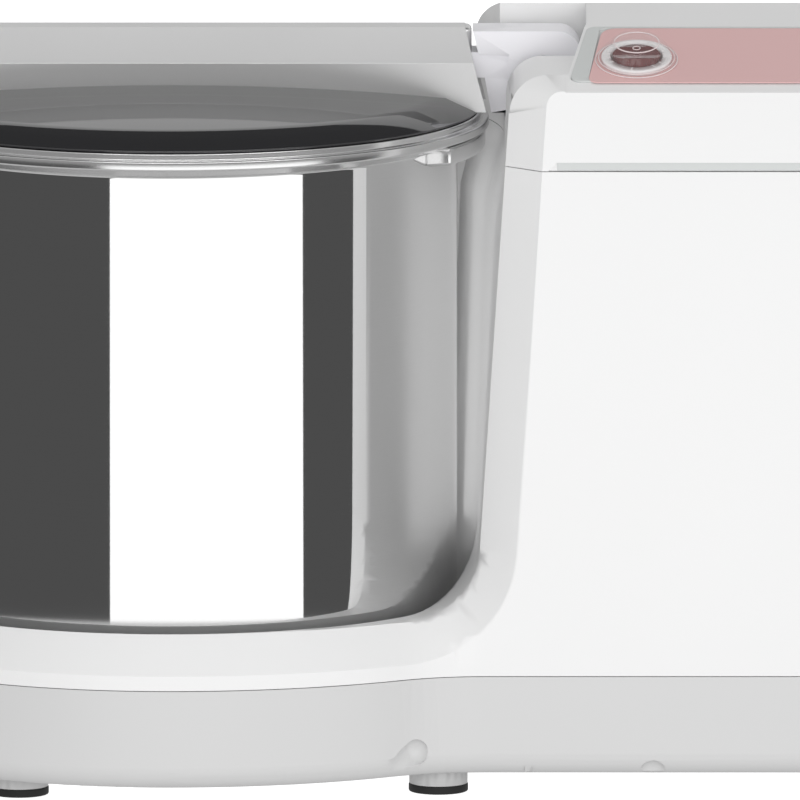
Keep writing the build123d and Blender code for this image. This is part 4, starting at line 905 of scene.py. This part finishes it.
@dataclass
class Lid(SubAssembly):
    """Smoke dome with the silver bridge over it.

    Attributes:
        segments: Sides of the turned dome.
        core: Radius where the dome's curves start.
        crown: Width and top of the dome's outer curve.
        hollow: The same for its inner curve.
        fall: Fall of both from the middle to the edge.
        crown_steps: Runs in each of them.
        ring: Outline of the ring under the dome's edge.
        ring_easing: Rounding of its corners.
        slot_half: Half width of the slot for the arm, in millimetres.
        slot_size: The slot's length and height.
        slot_place: Its middle from the lid's axis, and its height.
        smooth_angle: Largest angle in degrees that the bridge shades across.
        bridge_edge: Rounding of the bridge's long lower edges.
        edge_heights: Heights that those edges lie between.
        edge_length: Least length of one of them along x.
        cap_place: Middle of the bulge on the bridge's end beside the arm, in row millimetres.
        cap_size: Its size along the three axes.
        cap_bevel: Width of its rounded edges in metres.
    """

    segments: int = 224
    core: float = 0.3
    crown: Point = (106.7, 265.3)
    hollow: Point = (108.2, 263.3)
    fall: float = 5.1
    crown_steps: int = 18
    ring: tuple[Point, ...] = (
        (118.5, 254.7), (118.5, 254.0), (113.5, 254.0), (110.5, 257.5), (110.5, 251.8),
        (108.5, 251.8), (108.5, 258.2),
    )
    ring_easing: float = 0.7
    slot_half: float = 12.6
    slot_size: Point = (150.0, 60.0)
    slot_place: Point = (60.0, 255.0)
    smooth_angle: float = 24.0
    bridge_edge: float = 1.8
    edge_heights: Point = (265.0, 276.0)
    edge_length: float = 50.0
    cap_place: Point3 = (29.4, 0.0, 280.2)
    cap_size: Point3 = (4.2, 15.0, 11.2)
    cap_bevel: float = 0.0024

    def curve(self, width: float, top: float) -> list[Point]:
        """Shallow curve of the dome from its middle out, by its width and its height in the middle."""
        shares = [k / self.crown_steps for k in range(self.crown_steps + 1)]
        return [(self.core + width * share, top - self.fall * share**2) for share in shares]

    def build(self) -> None:
        """Turn the dome, cut its slot, copy the bridge and cap its end."""
        outside = self.curve(*self.crown)
        under = self.curve(*self.hollow)[::-1]
        sheet = outside + eased([outside[-1], *self.ring], self.ring_easing)[1:] + under
        dome = turned("lid_glaze", sheet, DRUM_AXIS, self.segments)
        middle = (DRUM_X + self.slot_place[0], 0.0, self.slot_place[1])
        length, height = self.slot_size
        cut_away(dome, block("slot_cutter", middle, (length, 2 * self.slot_half, height)))
        settle(dome, smooth_angle=30.0)
        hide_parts("lid_dome")
        self.place(dome, "lid", "smoke_lid")
        bridge = moulding("bridge_bar", "lid_bridge", self.smooth_angle, self.shape_bridge)
        self.place(bridge, "lid", "silver_bar")
        cap = block("bridge_cap", self.cap_place, self.cap_size)
        apply_modifier(cap, "BEVEL", width=self.cap_bevel, segments=FINE_SEGMENTS)
        settle(cap, smooth_angle=30.0)
        self.place(cap, "lid", "silver_bar")

    def shape_bridge(self, piece: Piece) -> None:
        """Round the long edges over the bridge's sides, which catch the light.

        Args:
            piece: Copy of the bridge's solid.
        """
        def long_edge(edge: Edge) -> bool:
            """Whether an edge is one of them.

            Args:
                edge: The edge.

            Returns:
                True when it is.
            """
            first, last = (vert.co / MM for vert in edge.verts)
            low, high = self.edge_heights
            return abs(first.x - last.x) > self.edge_length and low < min(first.z, last.z) < high

        soften(piece, long_edge, self.bridge_edge)


@dataclass
class Arm(SubAssembly):
    """Lock arm that swings over the drum, and the fork that it turns in.

    Attributes:
        smooth_angle: Largest angle in degrees that the arm shades across.
        hinge: The hinge's x and z, in millimetres about the drum's axis.
        end_radius: Distance of the arm's end from the hinge.
        corner: Radius of the end's upper corner.
        end_band: How near to the end's radius a point of the end lies.
        off_hinge: Least distance of such a point beyond the hinge and over it.
        web_drop: How much lower the web beside the lid hangs than the plain solid's.
        web_reach: How far the web reaches from the hinge.
        web_top: Height that its lower points lie under.
        fork_squash: Height of the fork's ears above the hinge, as a share of the plain solid's.
    """

    smooth_angle: float = 28.0
    hinge: Point = (143.0, 271.0)
    end_radius: float = 14.0
    corner: float = 8.2
    end_band: float = 0.2
    off_hinge: float = 0.05
    web_drop: float = 3.8
    web_reach: float = 34.0
    web_top: float = 257.5
    fork_squash: float = 0.58

    def build(self) -> None:
        """Copy the arm and its fork from their solids."""
        self.place(moulding("arm_moulding", "lock_arm", self.smooth_angle, self.shape_arm), "arm", "arm_white")
        fork = moulding("hinge_fork", "arm_bracket", self.smooth_angle, self.shape_fork)
        self.place(fork, "housing", "steel_part")

    def shape_arm(self, piece: Piece) -> None:
        """Square up the end that the bezel hides and let the web hang lower.

        Args:
            piece: Copy of the arm's solid.
        """
        inward = self.end_radius - self.corner
        hinge_x, hinge_z = self.hinge[0] + DRUM_X, self.hinge[1]

        def moved(spot: Vector) -> Point3:
            """New place of one point.

            Args:
                spot: Its old place.

            Returns:
                The new place.
            """
            x, y, z = spot
            across, up = x / MM - hinge_x, z / MM - hinge_z
            if min(across, up) > self.off_hinge and math.hypot(across, up) > self.end_radius - self.end_band:
                turn = math.atan2(up, across)
                x = (hinge_x + inward + self.corner * math.cos(turn)) * MM
                z = (hinge_z + inward + self.corner * math.sin(turn)) * MM
            elif -self.web_reach < across < 0 and z < self.web_top * MM:
                z -= self.web_drop * MM
            return x, y, z

        reshape(piece, moved)

    def shape_fork(self, piece: Piece) -> None:
        """Lower the fork's ears, which the cheek hides."""
        hinge_z = self.hinge[1] * MM
        reshape(piece, lambda spot: (
            spot.x, spot.y, min(spot.z, hinge_z + (spot.z - hinge_z) * self.fork_squash),
        ))


@dataclass
class Feet(SubAssembly):
    """Six turned rubber pads.

    Attributes:
        xs: Places along the machine, in metres.
        ys: Half spacing across at each of them.
        outline: A pad's radii and heights in millimetres, up to its stem.
        stem: Radii of the stem, which reaches up to the solid's top.
        easing: Rounding of the pad's corners.
    """

    xs: tuple[float, ...] = (-0.1418, 0.0187, 0.179)
    ys: tuple[float, ...] = (0.077, 0.070, 0.070)
    outline: tuple[Point, ...] = ((0.3, 0.0), (11.4, 0.0), (11.4, 3.2), (9.5, 3.4), (4.0, 3.6))
    stem: Point = (4.0, 0.3)
    easing: float = 0.7

    def build(self) -> None:
        """Turn each pad and join them into the one piece that stands for the feet."""
        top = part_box("rubber_feet")[1].z / MM
        outline = eased([*self.outline, *((radius, top) for radius in self.stem)], self.easing)
        pads = [
            turned("foot_pad", outline, (x, side * y)) for x, y in zip(self.xs, self.ys) for side in (-1, 1)
        ]
        leave_edit_mode()
        for pad in pads:
            pad.select_set(True)
        bpy.context.view_layer.objects.active = pads[0]
        bpy.ops.object.join()
        joined = fresh("foot_pads")
        settle(joined, smooth_angle=40.0)
        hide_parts("rubber_feet")
        self.place(joined, "housing", "black_rubber")


@dataclass
class Console(SubAssembly):
    """Printed panel on the slope, with the round rocker and thin near-white rings that paint highlights on the
    edges of its clear boot.

    Attributes:
        slope_angle: Slope of the console in degrees.
        slope_front: Depth and height of the slope's front edge, in millimetres.
        outline: The panel's corners along x and up the slope, from the lower left one round, each with
            its radius.
        corner_steps: Runs in each of those corners.
        print_height: Height of the print's top over the slope.
        print_thick: Its thickness.
        switch: The switch's place along x and up the slope.
        hole: Radius of the print's hole for the switch, and depth of its cutter.
        boot_highlight_rings: Radius, height over the slope and thickness of each painted highlight ring on an
            edge of the boot.
        mark: Radius and thickness of the ring on the rocker, its way up the slope from the middle and
            its height.
    """

    slope_angle: float = 18.5
    slope_front: Point = (-90.0, 276.5)
    outline: tuple[Point3, ...] = (
        (159.6, -0.4, 4.5), (165.4, 44.8, 6.5), (274.0, 44.8, 4.5), (274.0, -0.4, 4.5),
    )
    corner_steps: int = 8
    print_height: float = 1.0
    print_thick: float = 0.5
    switch: Point = (178.3, 18.1)
    hole: Point = (11.8, 20.0)
    boot_highlight_rings: tuple[Point3, ...] = ((15.6, 1.3, 0.26), (14.5, 2.2, 0.2), (8.6, 8.5, 0.24))
    mark: Corner = (1.4, 0.2, 6.4, 2.85)

    def on_slope(self, x: float, along: float, height: float) -> Vector:
        """Place over the slope.

        Args:
            x: Place from the drum's axis, in millimetres.
            along: Way up the slope.
            height: Height over it.

        Returns:
            The place in metres.
        """
        turn = math.radians(self.slope_angle)
        y = self.slope_front[0] + along * math.cos(turn) - height * math.sin(turn)
        z = self.slope_front[1] + along * math.sin(turn) + height * math.cos(turn)
        return Vector((x + DRUM_X, y, z)) * MM

    def build(self) -> None:
        """Make the print, the rocker and the rings of painted highlight on the boot's edges."""
        self.place(moulding("rocker_moulding", "switch_rocker", smooth_angle=30.0), "rocker", "switch_maroon")
        self.print_panel()
        # Painted highlights: a thin near-white ring along each edge of the clear boot.
        for number, (radius, height, thick) in enumerate(self.boot_highlight_rings):
            ring = self.ring("boot_edge_%d" % number, radius, thick, self.on_slope(*self.switch, height))
            self.place(ring, "housing", "boot_highlight")
        radius, thick, along, height = self.mark
        spot = self.on_slope(self.switch[0], self.switch[1] + along, height)
        self.place(self.ring("rocker_mark", radius, thick, spot), "rocker", "rocker_mark")

    def ring(self, name: str, radius: float, thick: float, middle: Vector) -> Piece:
        """Thin ring in line with the slope.

        Args:
            name: The ring's name.
            radius: Radius of its middle line, in millimetres.
            thick: Half of its thickness.
            middle: Its middle, in metres.

        Returns:
            The ring.
        """
        leave_edit_mode()
        bpy.ops.mesh.primitive_torus_add(
            location=middle, rotation=(math.radians(self.slope_angle), 0, 0), major_segments=ROUND_SIDES,
            minor_segments=8, major_radius=radius * MM, minor_radius=thick * MM,
        )
        ring = fresh(name)
        settle(ring)
        return ring

    def print_panel(self) -> None:
        """Rounded printed panel over the pocket, from a flat outline with eased corners."""
        corners = [Vector(corner[:2]) for corner in self.outline]
        path: list[Vector] = []
        for number, (corner, entry) in enumerate(zip(corners, self.outline)):
            back = (corners[number - 1] - corner).normalized() * entry[2]
            ahead = (corners[(number + 1) % len(corners)] - corner).normalized() * entry[2]
            for step in range(self.corner_steps + 1):
                share = step / self.corner_steps
                path.append(corner + back * (1 - share) ** 2 + ahead * share**2)
        foot = self.print_height - self.print_thick
        panel = laid("panel_print", [self.on_slope(*spot, foot) for spot in path])
        lift = self.on_slope(0, 0, self.print_thick) - self.on_slope(0, 0, 0)
        bpy.ops.mesh.extrude_region_move(TRANSFORM_OT_translate={"value": lift})
        close_up()
        bpy.ops.mesh.primitive_cylinder_add(
            vertices=ROUND_SIDES, radius=self.hole[0] * MM, depth=self.hole[1] * MM,
            location=self.on_slope(*self.switch, 0), rotation=(math.radians(self.slope_angle), 0, 0),
        )
        cut_away(panel, bpy.context.object)
        settle(panel)
        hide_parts("control_panel")
        self.place(panel, "housing", "panel_rose")


@dataclass
class Stones(SubAssembly):
    """Base stone and the two conical roller stones."""

    def build(self) -> None:
        """Copy the stones from their solids."""
        self.place(moulding("floor_stone", "base_stone"), "drum", "granite")
        for side in ("left", "right"):
            self.place(moulding("cone_stone_" + side, "roller_stone_" + side), "roller_" + side, "granite")


@dataclass(frozen=True)
class Card:
    """Upright curved card round the drum, which only reflections see.

    Attributes:
        name: The card's name.
        first: Azimuth where it starts, in degrees from the viewer's side towards +X.
        last: Azimuth where it ends.
        brightness: Light that it gives.
        foot: Height of its lower edge.
        head: Height of its upper edge.
        radius: Its distance from the drum's axis, near enough that a ray meets it before the floor.
        steps: Runs along it.
    """

    name: str
    first: float
    last: float
    brightness: float
    foot: float
    head: float
    radius: float = 0.4
    steps: int = 24

    def build(self) -> None:
        """Spin the card from one upright edge and let it glow."""
        leave_edit_mode()
        bpy.ops.mesh.primitive_plane_add(size=1)
        card = fresh(self.name)
        edit_all(card)
        mesh = bmesh.from_edit_mesh(card.data)
        for vert in list(mesh.verts)[2:]:
            mesh.verts.remove(vert)
        start, turn = math.radians(self.first), math.radians(self.first - self.last)
        for vert, level in zip(mesh.verts, (self.foot, self.head)):
            vert.co = (DRUM_AXIS[0] + self.radius * math.sin(start), -self.radius * math.cos(start), level)
        bmesh.update_edit_mesh(card.data)
        bpy.ops.mesh.select_all(action="SELECT")
        bpy.ops.mesh.spin(steps=self.steps, angle=turn, center=(*DRUM_AXIS, 0), axis=(0, 0, 1))
        leave_edit_mode()
        material = bpy.data.materials.new("glow_" + self.name)
        material.use_nodes = True
        material.node_tree.nodes.clear()
        glow = node(material.node_tree, "ShaderNodeEmission", {"Strength": self.brightness})
        node(material.node_tree, "ShaderNodeOutputMaterial", {"Surface": glow.outputs[0]})
        card.data.materials.append(material)
        card.visible_camera = card.visible_diffuse = card.visible_shadow = card.visible_transmission = False


@dataclass
class Studio:
    """Floor, light, reflected cards and camera.

    Attributes:
        elevation: The camera's height angle in degrees.
        distance: The camera's distance in metres.
        lens: Its lens in millimetres.
        film: Width of its picture in millimetres.
        far: Distance in metres at which it stops seeing.
        target: The point that the photograph's middle shows.
        cards: Three that give the drum its bands, then those that the lid, the bridge and the rim mirror.
        lamps: Name, place, side in metres and power in watts of each soft light.
        gap_place: Place of the light at the drum's wall.
        gap_size: Its height and width.
        gap_power: Its power in watts.
        floor_size: Side of the floor in metres.
        floor_drop: How far it lies under the feet.
        floor_grey: Lightness and roughness of the floor.
        floor_glow: Light that it gives.
        sky: Light of the surroundings below the horizon, at it and overhead.
        low_sky: Span of the upward direction over which the first turns into the second.
        high_sky: The same for the second and third.
    """

    elevation: float = 9.0
    distance: float = 14.516
    lens: float = 1700.0
    film: float = 36.0
    far: float = 100.0
    target: Point3 = (0.004, 0.0, 0.1402)
    cards: tuple[Card, ...] = (
        Card("card_0", -110.0, -21.0, 0.09, 0.0, 0.216),
        Card("card_1", -21.0, 48.2, 1.4, 0.0, 0.216),
        Card("card_2", 48.2, 70.9, 0.09, 0.0, 0.216),
        Card("card_behind", 105.0, 255.0, 0.06, 0.95, 3.4, radius=1.0),
        Card("card_over", -75.0, 75.0, 0.34, 0.216, 0.5),
        Card("card_high", -30.0, 55.0, 3.0, 0.56, 0.78),
    )
    lamps: tuple[tuple[str, Point3, float, float], ...] = (
        ("front_light", (0.35, -3.0, 0.4), 1.3, 45.0), ("top_light", (0.0, 0.2, 2.4), 1.2, 2.0),
    )
    gap_place: Point3 = (0.0272, -0.008, 0.165)
    gap_size: Point = (0.15, 0.085)
    gap_power: float = 0.0135
    floor_size: float = 12.0
    floor_drop: float = 0.0002
    floor_grey: Point = (0.9, 0.8)
    floor_glow: float = 0.9
    sky: Point3 = (0.6, 0.67, 0.6)
    low_sky: Point = (-0.35, 0.05)
    high_sky: Point = (0.35, 0.8)

    def build(self) -> None:
        """Set up everything that isn't part of the machine."""
        self.floor()
        self.world()
        for card in self.cards:
            card.build()
        self.lights()
        self.camera()

    def floor(self) -> None:
        """Pale floor that glows like a light table."""
        leave_edit_mode()
        bpy.ops.mesh.primitive_plane_add(size=self.floor_size, location=(0, 0, -self.floor_drop))
        floor = bpy.context.object
        floor.name = "floor"
        material = bpy.data.materials.new("floor_white")
        material.use_nodes = True
        grey, roughness = self.floor_grey
        for name, value in {
            "Base Color": (grey, grey, grey, 1), "Roughness": roughness,
            "Emission Color": (1, 1, 1, 1), "Emission Strength": self.floor_glow,
        }.items():
            material.node_tree.nodes["Principled BSDF"].inputs[name].default_value = value
        floor.data.materials.append(material)
        floor.visible_diffuse = floor.visible_glossy = False

    def world(self) -> None:
        """Pale surroundings, brightest at the horizon."""
        world = bpy.data.worlds.new("studio")
        world.use_nodes = True
        tree = world.node_tree
        seen = node(tree, "ShaderNodeTexCoord").outputs["Generated"]
        way = node(tree, "ShaderNodeSeparateXYZ", {0: seen}).outputs[2]
        below, level, above = self.sky
        under = spread(tree, way, below, level, self.low_sky)
        light = spread(tree, way, under, above, self.high_sky)
        tree.links.new(light, tree.nodes["Background"].inputs["Strength"])
        tree.nodes["Background"].inputs["Color"].default_value = (1, 1, 1, 1)
        bpy.context.scene.world = world

    def lights(self) -> None:
        """Soft square lights that look at the machine, and an upright one at the drum's wall.

        The upright one stands in for what the steel throws into the gap. Reflections show none of them.
        """
        for name, place, size, power in self.lamps:
            leave_edit_mode()
            bpy.ops.object.light_add(type="AREA", location=place)
            lamp = bpy.context.object
            lamp.name = name
            lamp.data.size, lamp.data.energy = size, power
            lamp.rotation_euler = (Vector(self.target) - Vector(place)).to_track_quat("-Z", "Y").to_euler()
            lamp.visible_glossy = False
        leave_edit_mode()
        bpy.ops.object.light_add(type="AREA", location=self.gap_place, rotation=(0, math.radians(-90), 0))
        lamp = fresh("gap_light")
        lamp.data.shape = "RECTANGLE"
        lamp.data.size, lamp.data.size_y = self.gap_size
        lamp.data.energy = self.gap_power
        lamp.visible_camera = lamp.visible_glossy = False

    def camera(self) -> None:
        """Camera at the photograph's viewing angle."""
        angle = math.radians(self.elevation)
        place = Vector(self.target) + self.distance * Vector((0, -math.cos(angle), math.sin(angle)))
        leave_edit_mode()
        bpy.ops.object.camera_add(location=place)
        camera = bpy.context.object
        camera.data.lens, camera.data.sensor_width, camera.data.clip_end = self.lens, self.film, self.far
        camera.rotation_euler = (Vector(self.target) - place).to_track_quat("-Z", "Y").to_euler()
        bpy.context.scene.camera = camera
        bpy.context.scene.view_settings.view_transform = "Standard"


def dress_solids() -> None:
    """Give every CAD node that stays in view the finish of its slot."""
    slots = {entry["node"]: entry["material_slot"] for entry in frame["record"]["subparts"]}
    for name, solid in frame["nodes"].items():
        if not solid.hide_render:
            FINISHES[slots[name]].dress(solid)
            LOG.info("%s keeps its solid in %s", name, slots[name])


def main() -> None:
    """Build the machine's sub-assemblies in order, dress the rest and set up the studio."""
    logging.basicConfig(level=logging.INFO, format="%(message)s")
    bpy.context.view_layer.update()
    for assembly in (Casing(), Drum(), Lid(), Arm(), Console(), Stones(), Feet()):
        LOG.info("Building %s", type(assembly).__name__)
        assembly.build()
    dress_solids()
    Studio().build()


if __name__ == "__main__":
    main()
